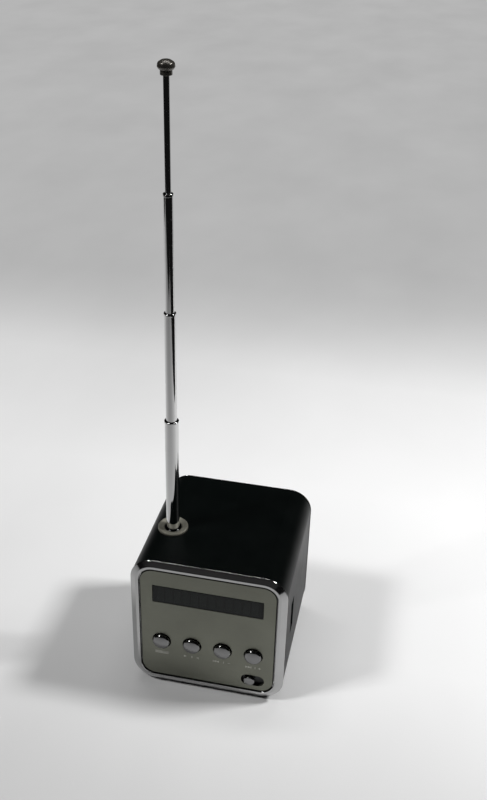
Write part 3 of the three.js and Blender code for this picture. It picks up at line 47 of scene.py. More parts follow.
# Camera. It looks down on the front and the right side from 30 cm away, tilted a little to the
# left, so that the case fills the lower half of the frame and the aerial nearly reaches its top.
CAMERA_AZIMUTH = radians(11.158)
CAMERA_ELEVATION = radians(30.655)
CAMERA_ROLL = radians(1.633)
CAMERA_DISTANCE = 301.84 * MM
CAMERA_TARGET = Vector((4.967, 0, 102.087)) * MM
LENS_LENGTH = 43.706
SENSOR_HEIGHT = 36

away = Vector((
    sin(CAMERA_AZIMUTH) * cos(CAMERA_ELEVATION),
    -cos(CAMERA_AZIMUTH) * cos(CAMERA_ELEVATION),
    sin(CAMERA_ELEVATION),
))
level_right = (-away).cross(Vector((0, 0, 1))).normalized()
level_up = level_right.cross(-away)
right = cos(CAMERA_ROLL) * level_right + sin(CAMERA_ROLL) * level_up
up = cos(CAMERA_ROLL) * level_up - sin(CAMERA_ROLL) * level_right
turn = Matrix((right, up, away)).transposed().to_4x4()
camera_data = bpy.data.cameras.new("camera")
camera_data.sensor_fit = "VERTICAL"
camera_data.sensor_height = SENSOR_HEIGHT
camera_data.lens = LENS_LENGTH
camera_data.clip_start = 0.01
camera = bpy.data.objects.new("camera", camera_data)
camera.matrix_world = Matrix.Translation(CAMERA_TARGET + CAMERA_DISTANCE * away) @ turn
bpy.context.scene.collection.objects.link(camera)
bpy.context.scene.camera = camera
bpy.context.scene.view_settings.view_transform = "Standard"


# Table. A plain white cloth lies flat on it in a dark room, lit softly from above by three lamps,
# so that polished metal shows the pale cloth below and the dark room above.
class Wire:
    """A shader socket on which Python's arithmetic works: each operator adds a Math node."""

    def __init__(self, finish, socket):
        self.finish = finish
        self.socket = socket

    def math(self, operation, *values):
        inputs = dict(enumerate((self, *values)))
        return self.finish.node("Math", {"operation": operation}, inputs)

    def __add__(self, other):
        return self.math("ADD", other)

    __radd__ = __add__

    def __sub__(self, other):
        return self.math("SUBTRACT", other)

    def __rsub__(self, other):
        return self * -1 + other

    def __mul__(self, other):
        return self.math("MULTIPLY", other)

    __rmul__ = __mul__

    def __gt__(self, other):
        return self.math("GREATER_THAN", other)

    def __lt__(self, other):
        return self.math("LESS_THAN", other)

    def __abs__(self):
        return self.math("ABSOLUTE")


class Finish:
    """The shader tree of a material or of the world."""

    def __init__(self, name, owner=None):
        self.owner = owner or bpy.data.materials.new(name)
        self.owner.use_nodes = True
        self.tree = self.owner.node_tree
        self.tree.nodes.clear()

    def node(self, kind, settings=None, inputs=None, output=0):
        """Adds a node, with its settings first, and then the values or wires of its sockets."""
        made = self.tree.nodes.new("ShaderNode" + kind)
        for name, value in (settings or {}).items():
            if name == "stops":
                for index, (position, grey) in enumerate(value):
                    stops = made.color_ramp.elements
                    stop = stops[index] if index < len(stops) else stops.new(position)
                    stop.position = position
                    stop.color = (grey, grey, grey, 1)
            else:
                setattr(made, name, value)
        for name, value in (inputs or {}).items():
            if isinstance(value, Wire):
                self.tree.links.new(value.socket, made.inputs[name])
            else:
                made.inputs[name].default_value = value
        return Wire(self, made.outputs[output]) if made.outputs else None

    def place(self, stretch=(1, 1, 1)):
        """Where a point lies on the object, in metres, stretched along the axes."""
        spot = self.node("TexCoord", output="Object")
        return self.node("VectorMath", {"operation": "MULTIPLY"}, {0: spot, 1: stretch})

    def noise(self, size, detail=2, stretch=(1, 1, 1)):
        """Cloudy noise from 0 to 1 whose lumps are about that size in metres."""
        inputs = {"Vector": self.place(stretch), "Scale": 1 / size, "Detail": detail}
        return self.node("TexNoise", {}, inputs)

    def relief(self, height, depth):
        """The normal of a surface that a height from 0 to 1 raises by that depth in metres."""
        return self.node("Bump", {}, {"Strength": 1.0, "Distance": depth, "Height": height})

    def tint(self, share, low, high):
        """A colour between two, by a share from 0 to 1."""
        inputs = {0: share, 6: (*low, 1), 7: (*high, 1)}
        return self.node("Mix", {"data_type": "RGBA"}, inputs, 2)

    def coated(self, **sockets):
        """Ends the tree in the principled shader, with these values or wires on its sockets."""
        values = {name.replace("_", " "): value for name, value in sockets.items()}
        colour = values["Base Color"]
        if not isinstance(colour, Wire):
            values["Base Color"] = (*colour, 1)
        shader = self.node("BsdfPrincipled", {}, values)
        self.node("OutputMaterial", {}, {"Surface": shader})
        return self.owner


CLOTH_FRONT = -0.31
CLOTH_LEFT = -0.45
CLOTH_RIGHT = 0.16
CLOTH_FAR = 3.2
CLOTH_NEAR_END = 0.05
# Painted light on the cloth: its grey from the front edge (0) to the back (1), as the lamps' pool
# of light falls.
PAINTED_LIGHT_GREYS = (
    (0, 0.3), (0.24, 0.47), (0.39, 0.66), (0.5, 0.86), (0.66, 0.94), (0.85, 0.82), (1, 0.62),
)
THREAD_SIZE = 0.4 * MM
THREAD_DEPTH = 0.02 * MM
FOLD_SIZE = 70 * MM
FOLD_SHADE = 0.12
SIDE_SHADE = 0.9
SIDE_REACH = 0.1
FADE_START = 0.2
FADE_END = 0.36
BACKGROUND_GREY = 0.46
BACKGROUND_SHADE = 0.2
ROOM_DARK = 0.008
ROOM_FRONT = 0.035
ROOM_PALE = 0.7
HORIZON = 0.1
GLOW_EDGE = -0.7
GLOW_FULL = -0.9
LAMP_TARGET = Vector((0, 0, 30 * MM))


def cloth_finish():
    """White cloth whose grey is painted with the fall of light: it changes from front to back and
    from side to side, with painted fold shade, and it fades into a pale background.
    """
    cloth = Finish("white_cloth")
    spot = cloth.place()
    across = cloth.node("SeparateXYZ", {}, {0: spot}, "X")
    along = cloth.node("SeparateXYZ", {}, {0: spot}, "Y")
    weave = cloth.noise(THREAD_SIZE, 3)
    folds = cloth.noise(FOLD_SIZE, 3, (1, 0.6, 1))
    # Painted light: the grey rises and falls from front to back as the lamps' pool of light would,
    # the right side is painted lighter than the left, and the folds are painted shade.
    share = (along - CLOTH_FRONT) * (1 / (2 * abs(CLOTH_FRONT)))
    grey = cloth.node("ValToRGB", {"stops": PAINTED_LIGHT_GREYS}, {"Fac": share})
    side_light_share = across.math("MAXIMUM", -SIDE_REACH).math("MINIMUM", SIDE_REACH)
    uneven = (1 - FOLD_SHADE / 2) + FOLD_SHADE * folds + SIDE_SHADE * side_light_share
    colour = cloth.node("VectorMath", {"operation": "SCALE"}, {0: grey, "Scale": uneven})
    lit = cloth.node("BsdfPrincipled", {}, {
        "Base Color": colour, "Roughness": 1.0, "Specular IOR Level": 0.0,
        "Normal": cloth.relief(weave, THREAD_DEPTH),
    })
    far = cloth.node("MapRange", {}, {"Value": along, "From Min": FADE_START, "From Max": FADE_END})
    camera_ray = cloth.node("LightPath", output="Is Camera Ray")
    glossy_ray = cloth.node("LightPath", output="Is Glossy Ray")
    pale = cloth.node("Emission", {}, {
        "Color": (1, 1, 1, 1),
        "Strength": BACKGROUND_GREY * ((1 - BACKGROUND_SHADE / 2) + BACKGROUND_SHADE * folds),
    })
    both = cloth.node("MixShader", {}, {0: far * (camera_ray + glossy_ray), 1: lit, 2: pale})
    cloth.node("OutputMaterial", {}, {"Surface": both})
    return cloth.owner


cloth_corners = (
    (CLOTH_LEFT, CLOTH_FRONT), (CLOTH_RIGHT, CLOTH_FRONT), (CLOTH_RIGHT, CLOTH_NEAR_END),
    (CLOTH_FAR, CLOTH_FAR), (-CLOTH_FAR, CLOTH_FAR), (CLOTH_LEFT, CLOTH_NEAR_END),
)
cloth_mesh = bpy.data.meshes.new("table_cloth")
cloth_mesh.from_pydata([(x, y, 0) for x, y in cloth_corners], [], [range(len(cloth_corners))])
cloth_mesh.materials.append(cloth_finish())
table_cloth = bpy.data.objects.new("table_cloth", cloth_mesh)
bpy.context.scene.collection.objects.link(table_cloth)

room = Finish("room", bpy.data.worlds.new("room"))
seen_directly = room.node("LightPath", output="Is Camera Ray")
direction = room.node("TexCoord", output="Generated")
to_back = room.node("SeparateXYZ", {}, {0: direction}, "Y")
upward = room.node("SeparateXYZ", {}, {0: direction}, "Z")
in_front = room.node("MapRange", {}, {
    "Value": to_back, "From Min": GLOW_EDGE, "From Max": GLOW_FULL,
})
front_glow = ROOM_FRONT * in_front * (upward > HORIZON)
strength = ROOM_DARK + front_glow + (ROOM_PALE - ROOM_DARK) * seen_directly
sky = room.node("Background", {}, {"Color": (1, 1, 1, 1), "Strength": strength})
room.node("OutputWorld", {}, {"Surface": sky})
bpy.context.scene.world = room.owner


def lamp(name, place, width, depth, power):
    """Hangs a flat lamp that faces the object, with its sizes in metres and its power in watts."""
    data = bpy.data.lights.new(name, "AREA")
    data.shape = "RECTANGLE"
    data.size = width
    data.size_y = depth
    data.energy = power
    made = bpy.data.objects.new(name, data)
    made.location = place
    made.rotation_euler = (LAMP_TARGET - Vector(place)).to_track_quat("-Z", "Y").to_euler()
    bpy.context.scene.collection.objects.link(made)


lamp("lamp_right", (0.78, 0.22, 1.03), width=0.2, depth=0.2, power=10.7)
lamp("lamp_left", (-0.68, -0.44, 1.03), width=0.2, depth=0.2, power=6)
lamp("lamp_above", (-0.1, 0.34, 1.4), width=1, depth=0.12, power=4.2)


# Case. A length of square black-anodised aluminium tube, with rounded corners and milled openings
# for the sockets, the aerial and the battery.
def outline(half_u, half_v, radius, steps=12):
    """A rounded rectangle round the origin, as points (u, v)."""
    points = []
    for quarter, (side_u, side_v) in enumerate(((1, 1), (-1, 1), (-1, -1), (1, -1))):
        for step in range(steps + 1):
            angle = (quarter + step / steps) * pi / 2
            points.append((
                side_u * (half_u - radius) + radius * cos(angle),
                side_v * (half_v - radius) + radius * sin(angle),
            ))
    return points


def softened(corners, steps=4):
    """A profile whose corners, each (u, v, radius), are rounded."""
    profile = []
    for index, (u, v, radius) in enumerate(corners):
        here = Vector((u, v))
        if not radius:
            profile.append(here)
            continue
        back = (Vector(corners[index - 1][:2]) - here).normalized()
        on = (Vector(corners[(index + 1) % len(corners)][:2]) - here).normalized()
        half = back.angle(on) / 2
        centre = here + (back + on).normalized() * radius / sin(half)
        start = here + back * radius / tan(half) - centre
        end = here + on * radius / tan(half) - centre
        for step in range(steps + 1):
            profile.append(centre + radius * start.slerp(end, step / steps))
    return profile


def shaded(made, sharp=radians(32)):
    """Shades an object smooth but for its sharp edges, with its broad faces flat."""
    made.data.shade_smooth()
    made.data.set_sharp_from_angle(angle=sharp)
    made.modifiers.new("even_shading", "WEIGHTED_NORMAL").keep_sharp = True
    return made


def solid(name, vertices, faces, finish):
    """An object of that mesh."""
    form = bmesh.new()
    for point in vertices:
        form.verts.new(point)
    form.verts.ensure_lookup_table()
    for face in faces:
        form.faces.new([form.verts[index] for index in face])
    bmesh.ops.remove_doubles(form, verts=form.verts, dist=1e-7)
    bmesh.ops.recalc_face_normals(form, faces=form.faces)
    mesh = bpy.data.meshes.new(name)
    form.to_mesh(mesh)
    form.free()
    mesh.materials.append(finish)
    made = bpy.data.objects.new(name, mesh)
    bpy.context.scene.collection.objects.link(made)
    return shaded(made)


def skin(name, loops, finish, ring=False):
    """A skin over loops of as many points each, closed in a ring or by its end faces."""
    count = len(loops[0])
    faces = []
    for index in range(len(loops) if ring else len(loops) - 1):
        this, following = index * count, (index + 1) % len(loops) * count
        for point in range(count):
            beside = (point + 1) % count
            faces.append((this + point, this + beside, following + beside, following + point))
    if not ring:
        faces.append(tuple(range(count)))
        faces.append(tuple(range((len(loops) - 1) * count, len(loops) * count)))
    return solid(name, [point for loop in loops for point in loop], faces, finish)


def square_ring(name, section, half, radius, middle_z, finish):
    """Carries a closed section of points (inset, y) round the case's rounded square."""
    loops = [
        [(u, y, middle_z + v)
         for u, v in outline(half - inset, half - inset, radius - inset, steps=16)]
        for inset, y in section
    ]
    return skin(name, loops, finish, ring=True)


def cut(body, cutters):
    """Cuts these objects out of the body, and removes them."""
    body.modifiers.clear()
    for cutter in cutters:
        cutter.modifiers.clear()
        modifier = body.modifiers.new("cut", "BOOLEAN")
        modifier.operation = "DIFFERENCE"
        modifier.solver = "EXACT"
        modifier.object = cutter
    bpy.context.view_layer.update()
    graph = bpy.context.evaluated_depsgraph_get()
    mesh = bpy.data.meshes.new_from_object(body.evaluated_get(graph))
    body.modifiers.clear()
    body.data = mesh
    for cutter in cutters:
        bpy.data.objects.remove(cutter)
    shaded(body)


def chamfered_hole(half_u, half_v, radius, to_space, surface, wall, finish, chamfer=0.25 * MM):
    """A cutter for a milled hole through a wall whose outer face lies at that distance."""
    stations = (
        (surface - 2 * wall, 0), (surface - chamfer, 0),
        (surface, chamfer), (surface + wall, chamfer),
    )
    loops = [
        [to_space(u, v, depth)
         for u, v in outline(half_u + grow, half_v + grow, radius + grow, steps=6)]
        for depth, grow in stations
    ]
    return skin("hole", loops, finish)


def anodised():
    """Black anodised aluminium: a fine grain, a faint haze, and scuffs along the depth."""
    black = Finish("black_anodised")
    grain = black.noise(0.12 * MM, 3)
    haze = black.noise(9 * MM, 3)
    scuffs = black.node(
        "ValToRGB", {"stops": ((0.62, 0), (0.75, 1))},
        {"Fac": black.noise(0.5 * MM, 4, (1, 0.06, 1))},
    )
    worn = 0.6 * haze + 0.2 * scuffs
    return black.coated(
        Base_Color=black.tint(worn, (0.0012, 0.0018, 0.0017), (0.004, 0.0052, 0.005)),
        Specular_IOR_Level=0.048,
        Roughness=0.3 + 0.12 * haze + 0.08 * scuffs,
        Normal=black.relief(grain, 0.004 * MM),
    )


black_anodised = anodised()
shell_low, shell_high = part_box("body_shell")
SHELL_HALF = shell_high.x
SHELL_RADIUS = 7.8 * MM
SHELL_WALL = 1.4 * MM
SHELL_EDGE = 0.12 * MM
MIDDLE_Z = (shell_low.z + shell_high.z) / 2
shell_section = softened((
    (0, shell_low.y, SHELL_EDGE), (0, shell_high.y, SHELL_EDGE),
    (SHELL_WALL, shell_high.y, 0), (SHELL_WALL, shell_low.y, 0),
))
case_shell = square_ring(
    "case_shell", shell_section, SHELL_HALF, SHELL_RADIUS, MIDDLE_Z, black_anodised,
)


def side_hole(node, side, half_y, half_z, radius):
    """A hole through the case's left (-1) or right (1) side, opposite the middle of a node."""
    low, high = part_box(node)
    middle = (low + high) / 2

    def to_space(u, v, depth):
        return (side * depth, middle.y + u, middle.z + v)

    return chamfered_hole(half_y, half_z, radius, to_space, SHELL_HALF, SHELL_WALL, black_anodised)


USB_LAP = 0.3 * MM
USB_CORNER = 0.3 * MM
CARD_HALF_Y = 0.75 * MM
CARD_HALF_Z = 6.1 * MM
CARD_CORNER = 0.4 * MM
CHARGE_LAP = 0.4 * MM
CHARGE_CORNER = 0.5 * MM
AUDIO_HALF = 2.8 * MM
AUDIO_CORNER = 2.75 * MM
AERIAL_HOLE = 4.2 * MM
AERIAL_CORNER = 0.999 * AERIAL_HOLE
DOOR_GAP = 0.3 * MM
DOORWAY_CORNER = 0.5 * MM
usb_low, usb_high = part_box("usb_shell")
charge_low, charge_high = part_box("charge_socket")
rosette_low, rosette_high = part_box("aerial_rosette")
aerial_x = (rosette_low.x + rosette_high.x) / 2
aerial_y = (rosette_low.y + rosette_high.y) / 2
door_low, door_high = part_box("battery_door")
door_middle = (door_low + door_high) / 2
door_half_x = (door_high.x - door_low.x) / 2
door_half_y = (door_high.y - door_low.y) / 2
openings = [
    side_hole(
        "usb_shell", 1,
        (usb_high.y - usb_low.y) / 2 - USB_LAP, (usb_high.z - usb_low.z) / 2 - USB_LAP, USB_CORNER,
    ),
    side_hole("card_socket", -1, CARD_HALF_Y, CARD_HALF_Z, CARD_CORNER),
    side_hole(
        "charge_socket", -1, (charge_high.y - charge_low.y) / 2 - CHARGE_LAP,
        (charge_high.z - charge_low.z) / 2 - CHARGE_LAP, CHARGE_CORNER,
    ),
    side_hole("audio_socket", -1, AUDIO_HALF, AUDIO_HALF, AUDIO_CORNER),
    chamfered_hole(
        AERIAL_HOLE, AERIAL_HOLE, AERIAL_CORNER,
        lambda u, v, depth: (aerial_x + u, aerial_y + v, MIDDLE_Z + depth),
        SHELL_HALF, SHELL_WALL, black_anodised,
    ),
    chamfered_hole(
        door_half_x + DOOR_GAP, door_half_y + DOOR_GAP, DOORWAY_CORNER,
        lambda u, v, depth: (door_middle.x + u, door_middle.y + v, MIDDLE_Z - depth),
        SHELL_HALF, SHELL_WALL, black_anodised,
    ),
]
cut(case_shell, openings)
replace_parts(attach(case_shell, "case"), "body_shell")


# Bezels. Chrome-plated plastic rings, each snapped and screwed into one end of the case, with a
# narrow rim, a bevel and a flat lip round the panel that lies in it.
def chrome_plate(name, smudge, tone=0.6):
    """Chrome of that brightness, smudged by hands, with dull specks and a slight ripple."""
    chrome = Finish(name)
    haze = chrome.noise(6 * MM, 4)
    specks = chrome.node(
        "ValToRGB", {"stops": ((0.7, 0), (0.78, 1))}, {"Fac": chrome.noise(0.35 * MM, 2)},
    )
    ripple = chrome.noise(3 * MM, 1)
    return chrome.coated(
        Base_Color=chrome.tint(0.5 * haze + 0.5 * specks, (tone, tone, tone), (0.77 * tone,) * 3),
        Metallic=1.0, Roughness=0.05 + smudge * haze + 0.1 * specks,
        Normal=chrome.relief(ripple, 0.006 * MM),
    )


bezel_chrome = chrome_plate("bezel_chrome", smudge=0.08, tone=0.46)
BEZEL_RADIUS = 8 * MM
BEZEL_DEPTH = 1.3 * MM
RIM_DEPTH = 0.2 * MM
BEVEL_WIDTH = 1.9 * MM
LIP_WIDTH = 1 * MM
LEDGE_WIDTH = 1.1 * MM
RIM_EDGE = 0.26 * MM
RIM_BACK_EDGE = 0.04 * MM
LIP_EDGE = 0.25 * MM
bezel_low, bezel_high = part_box("front_bezel")
panel_low, panel_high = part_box("front_panel")
BEZEL_HALF = bezel_high.x
BEZEL_OPENING = BEVEL_WIDTH + LIP_WIDTH


def bezel(name, node, side):
    """Makes the bezel whose face looks along -Y (side -1) or +Y (side 1)."""
    face = -bezel_low.y
    shoulder = face - BEZEL_DEPTH
    seat = -panel_high.y
    spigot_end = -bezel_high.y
    corners = (
        (0, shoulder, RIM_BACK_EDGE), (0, shoulder + RIM_DEPTH, RIM_EDGE),
        (BEVEL_WIDTH, face, LIP_EDGE), (BEZEL_OPENING, face, LIP_EDGE), (BEZEL_OPENING, seat, 0),
        (BEZEL_OPENING + LEDGE_WIDTH, seat, 0), (BEZEL_OPENING + LEDGE_WIDTH, spigot_end, 0),
        (BEVEL_WIDTH, spigot_end, 0), (BEVEL_WIDTH, shoulder, 0),
    )
    section = [(inset, side * y) for inset, y in softened(corners)]
    made = square_ring(name, section, BEZEL_HALF, BEZEL_RADIUS, MIDDLE_Z, bezel_chrome)
    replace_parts(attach(made, "case"), node)


bezel("front_bezel_chrome", "front_bezel", -1)
bezel("rear_bezel_chrome", "rear_bezel", 1)


# Front panel. A stamped plate, sprayed satin grey, that lies on the front bezel's ledge and has
# holes for the display, the buttons and the switch.
def plate(name, shapes, front_y, back_y, finish, edge=0.08 * MM):
    """A flat plate across Y: the outlines (x, z) in shapes are its edge and its holes."""
    curve = bpy.data.curves.new(name, "CURVE")
    curve.dimensions = "2D"
    curve.fill_mode = "BOTH"
    curve.extrude = (back_y - front_y) / 2 - edge
    curve.bevel_depth = edge
    curve.bevel_resolution = 1
    curve.offset = -edge
    for shape in shapes:
        spline = curve.splines.new("POLY")
        spline.points.add(len(shape) - 1)
        for point, (x, z) in zip(spline.points, shape):
            point.co = (x, z, 0, 1)
        spline.use_cyclic_u = True
    drawn = bpy.data.objects.new(name, curve)
    bpy.context.scene.collection.objects.link(drawn)
    bpy.context.view_layer.update()
    graph = bpy.context.evaluated_depsgraph_get()
    mesh = bpy.data.meshes.new_from_object(drawn.evaluated_get(graph))
    bpy.data.objects.remove(drawn)
    upright = Matrix.Rotation(pi / 2, 4, "X")
    mesh.transform(Matrix.Translation((0, (front_y + back_y) / 2, 0)) @ upright)
    mesh.materials.clear()
    mesh.materials.append(finish)
    made = bpy.data.objects.new(name, mesh)
    bpy.context.scene.collection.objects.link(made)
    return shaded(made)


def shifted(points, x, z):
    """The same points (u, v), moved by x and z."""
    return [(u + x, v + z) for u, v in points]


def ring_of(radius, x, z, sides=40):
    """A circle as points (x, z)."""
    angles = [2 * pi * k / sides for k in range(sides)]
    return [(x + radius * cos(angle), z + radius * sin(angle)) for angle in angles]


PANEL_RADIUS = 4.65 * MM
PANEL_HALF = panel_high.x
# The painted shade line along the panel's edge: its width and how dark it is.
SEAM_WIDTH = 0.27 * MM
SEAM_SHADE = 0.93


def satin_paint():
    """Satin grey, with a painted shade line that darkens a panel's edge where it meets the bezel.
    """
    paint = Finish("satin_grey")
    spot = paint.place()
    x = paint.node("SeparateXYZ", {}, {0: spot}, "X")
    z = paint.node("SeparateXYZ", {}, {0: spot}, "Z")
    inner = PANEL_HALF - PANEL_RADIUS
    past_x = (abs(x) - inner).math("MAXIMUM", 0)
    past_z = (abs(z - MIDDLE_Z) - inner).math("MAXIMUM", 0)
    reach = (past_x * past_x + past_z * past_z).math("SQRT")
    # Painted shade: a dark line along the panel's edge stands for the shade in the seam.
    unshaded = 1 - SEAM_SHADE * (reach > PANEL_RADIUS - SEAM_WIDTH)
    flake = paint.noise(0.16 * MM, 2)
    brush = paint.noise(0.3 * MM, 3, (0.05, 1, 1))
    haze = paint.noise(14 * MM, 2)
    colour = paint.tint(
        0.4 * flake + 0.15 * brush + 0.45 * haze, (0.094, 0.096, 0.079), (0.24, 0.246, 0.204),
    )
    return paint.coated(
        Base_Color=paint.node("VectorMath", {"operation": "SCALE"}, {0: colour, "Scale": unshaded}),
        Metallic=0.9,
        Roughness=0.3 + 0.12 * flake + 0.06 * haze,
        Normal=paint.relief(flake, 0.004 * MM),
    )


satin_grey = satin_paint()
BUTTON_NODES = ("button_1", "button_2", "button_3", "button_4")
BUTTON_HOLE = 3.2 * MM
button_places = []
for node in BUTTON_NODES:
    low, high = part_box(node)
    button_places.append(((low.x + high.x) / 2, (low.z + high.z) / 2))
WINDOW_GAP = 0.12 * MM
WINDOW_HOLE_CORNER = 0.25 * MM
window_low, window_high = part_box("display_window")
window_x = (window_low.x + window_high.x) / 2
window_z = (window_low.z + window_high.z) / 2
window_half_x = (window_high.x - window_low.x) / 2
window_half_z = (window_high.z - window_low.z) / 2
SWITCH_TRAVEL = 2.1 * MM
SLOT_HALF_X = 3.95 * MM
SLOT_HALF_Z = 2.25 * MM
SLOT_CORNER = 0.98 * SLOT_HALF_Z
knob_low, knob_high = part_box("power_switch_knob")
slot_x = (knob_low.x + knob_high.x) / 2 + SWITCH_TRAVEL / 2
slot_z = (knob_low.z + knob_high.z) / 2
window_hole = outline(
    window_half_x + WINDOW_GAP, window_half_z + WINDOW_GAP, WINDOW_HOLE_CORNER, steps=4,
)
panel_shapes = [
    shifted(outline(PANEL_HALF, PANEL_HALF, PANEL_RADIUS), 0, MIDDLE_Z),
    shifted(window_hole, window_x, window_z),
    shifted(outline(SLOT_HALF_X, SLOT_HALF_Z, SLOT_CORNER), slot_x, slot_z),
]
panel_shapes += [ring_of(BUTTON_HOLE, x, z) for x, z in button_places]
front_plate = plate("front_panel_plate", panel_shapes, panel_low.y, panel_high.y, satin_grey)
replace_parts(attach(front_plate, "case"), "front_panel")


# Rear grille. The front panel's twin lies on the rear bezel's ledge, and is pierced with rings of
# round holes for the loudspeaker.
GRILLE_PITCH = 3.3 * MM
GRILLE_HOLE = 1.05 * MM
GRILLE_RINGS = 4
FIRST_RING_HOLES = 6
grille_low, grille_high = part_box("rear_grille")
grille_shapes = [panel_shapes[0], ring_of(GRILLE_HOLE, 0, MIDDLE_Z, sides=20)]
for ring in range(1, GRILLE_RINGS + 1):
    for x, z in ring_of(ring * GRILLE_PITCH, 0, MIDDLE_Z, sides=ring * FIRST_RING_HOLES):
        grille_shapes.append(ring_of(GRILLE_HOLE, x, z, sides=20))
grille = plate("rear_grille_plate", grille_shapes, grille_low.y, grille_high.y, satin_grey)
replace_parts(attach(grille, "case"), "rear_grille")


# Display. A smoked plastic window lies flush in the front panel, over a module whose unlit
# character cells just show through.
CELL_COUNT = 12
CELL_FILL = 0.78
CELL_HALF_HEIGHT = 2.5 * MM
CELL_MARGIN = 1.2 * MM
WINDOW_CORNER = 0.2 * MM


def smoked_plastic():
    """Smoked plastic with a row of slightly paler character cells behind it."""
    smoked = Finish("smoked_window")
    spot = smoked.place()
    x = smoked.node("SeparateXYZ", {}, {0: spot}, "X")
    z = smoked.node("SeparateXYZ", {}, {0: spot}, "Z")
    pitch = 2 * (window_half_x - CELL_MARGIN) / CELL_COUNT
    along = abs(((x - window_x) * (1 / pitch)).math("FRACT") - 0.5)
    inside = abs(x - window_x) < pitch * CELL_COUNT / 2
    cells = (along < CELL_FILL / 2) * (abs(z - window_z) < CELL_HALF_HEIGHT) * inside
    dust = smoked.node(
        "ValToRGB", {"stops": ((0.66, 0), (0.76, 1))}, {"Fac": smoked.noise(0.25 * MM, 2)},
    )
    haze = smoked.noise(5 * MM, 3)
    return smoked.coated(
        Base_Color=smoked.tint(
            cells * (0.15 + 0.35 * haze) + 0.2 * haze + 0.2 * dust,
            (0.0025, 0.0035, 0.0035), (0.016, 0.021, 0.019),
        ),
        Roughness=0.16 + 0.1 * haze + 0.1 * dust, Specular_IOR_Level=0.2,
        Normal=smoked.relief(haze, 0.004 * MM),
    )


smoked_window = smoked_plastic()
display_window = plate(
    "display_window_pane",
    [shifted(outline(window_half_x, window_half_z, WINDOW_CORNER, steps=4), window_x, window_z)],
    window_low.y, window_high.y, smoked_window,
)
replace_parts(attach(display_window, "case"), "display_window")


# Push buttons. Chrome-plated caps, each with a rounded shoulder and a shallow dome, stand out of
# the panel's holes. Each has a wide flange behind the panel and a stem that reaches its switch.
ON_AXIS = 1e-9


def turned(name, profile, centre, axis, finish, sides=48):
    """Turns a profile of points (radius, distance) about an axis, Y or Z, through the centre."""
    vertices = []
    for radius, distance in profile:
        for u, v in ring_of(radius, *centre, sides):
            vertices.append((u, distance, v) if axis == "Y" else (u, v, distance))
    closed = profile[0][0] > 0
    faces = []
    for index in range(len(profile) if closed else len(profile) - 1):
        this, following = index * sides, (index + 1) % len(profile) * sides
        for side in range(sides):
            beside = (side + 1) % sides
            corners = [this + side, this + beside, following + beside, following + side]
            if profile[index][0] < ON_AXIS:
                corners = [this, following + beside, following + side]
            elif profile[(index + 1) % len(profile)][0] < ON_AXIS:
                corners = [this + side, this + beside, following]
            faces.append(corners)
    used = sorted({corner for face in faces for corner in face})
    renumbered = {corner: place for place, corner in enumerate(used)}
    faces = [[renumbered[corner] for corner in face] for face in faces]
    return solid(name, [vertices[corner] for corner in used], faces, finish)


def cap_front(radius, tip_y, crown, shoulder, steps=10):
    """A cap's profile from its wall over a rounded shoulder to the tip of its dome, towards -Y."""
    face_angle = asin((radius - shoulder) / (crown - shoulder))
    shoulder_y = tip_y + crown - (crown - shoulder) * cos(face_angle)
    points = []
    for step in range(steps):
        angle = step / steps * (pi / 2 - face_angle)
        points.append((radius - shoulder * (1 - cos(angle)), shoulder_y - shoulder * sin(angle)))
    for step in range(steps + 1):
        angle = face_angle * (1 - step / steps)
        points.append((crown * sin(angle), tip_y + crown * (1 - cos(angle))))
    return points


dark_chrome = chrome_plate("dark_chrome", smudge=0.08, tone=0.21)
BUTTON_RADIUS = 2.9 * MM
BUTTON_CROWN = 6.75 * MM
BUTTON_SHOULDER = 0.7 * MM
STEM_RADIUS = 1.5 * MM
STEM_EDGE = 0.1 * MM
FLANGE_THICKNESS = 0.6 * MM
FLANGE_GAP = 0.3 * MM
FLANGE_EDGE = 0.1 * MM
flange_front = panel_high.y + FLANGE_GAP
flange_back = flange_front + FLANGE_THICKNESS
for index, ((x, z), node) in enumerate(zip(button_places, BUTTON_NODES)):
    low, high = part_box(node)
    flange_radius = high.x - x
    profile = softened((
        (0, high.y, 0), (STEM_RADIUS, high.y, STEM_EDGE), (STEM_RADIUS, flange_back, 0),
        (flange_radius, flange_back, FLANGE_EDGE), (flange_radius, flange_front, FLANGE_EDGE),
        (BUTTON_RADIUS, flange_front, 0),
    ))
    profile += cap_front(BUTTON_RADIUS, low.y, BUTTON_CROWN, BUTTON_SHOULDER)
    cap = turned(f"push_button_{index + 1}", profile, (x, z), "Y", dark_chrome)
    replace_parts(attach(cap, node), node)


# Legends. Small marks printed in pale ink under the buttons: a list, play and pause, back and less,
# forward and more.
LEGEND_DROP = 5.3 * MM
LEGEND_HALF = 0.46 * MM
LEGEND_REACH = 2.3 * MM
BACK_POST = 0.2 * LEGEND_REACH
FORWARD_POST = 0.35 * LEGEND_REACH
ARROW_PITCH = 2 * LEGEND_HALF
ARROW_SHIFT = 0.5 * LEGEND_HALF
POST_SHIFT = 2.7 * LEGEND_HALF
BAR_HALF = 0.12 * MM
LINE_PITCH = 0.4 * MM
PLUS_ARM_Z = (LEGEND_HALF + BAR_HALF) / 2
PLUS_ARM_HALF = (LEGEND_HALF - BAR_HALF) / 2
INK_THICKNESS = 0.02 * MM


def printed_ink():
    """Pale ink, worn thin in places."""
    ink = Finish("pale_ink")
    worn = ink.noise(0.3 * MM, 3)
    return ink.coated(
        Base_Color=ink.tint(worn, (0.3, 0.3, 0.27), (0.6, 0.6, 0.54)),
        Roughness=0.5 + 0.2 * worn, Normal=ink.relief(worn, 0.003 * MM),
    )


def bar(x, z, half_x, half_z):
    """A rectangle as points (x, z)."""
    return [
        (x + half_x, z + half_z), (x - half_x, z + half_z),
        (x - half_x, z - half_z), (x + half_x, z - half_z),
    ]


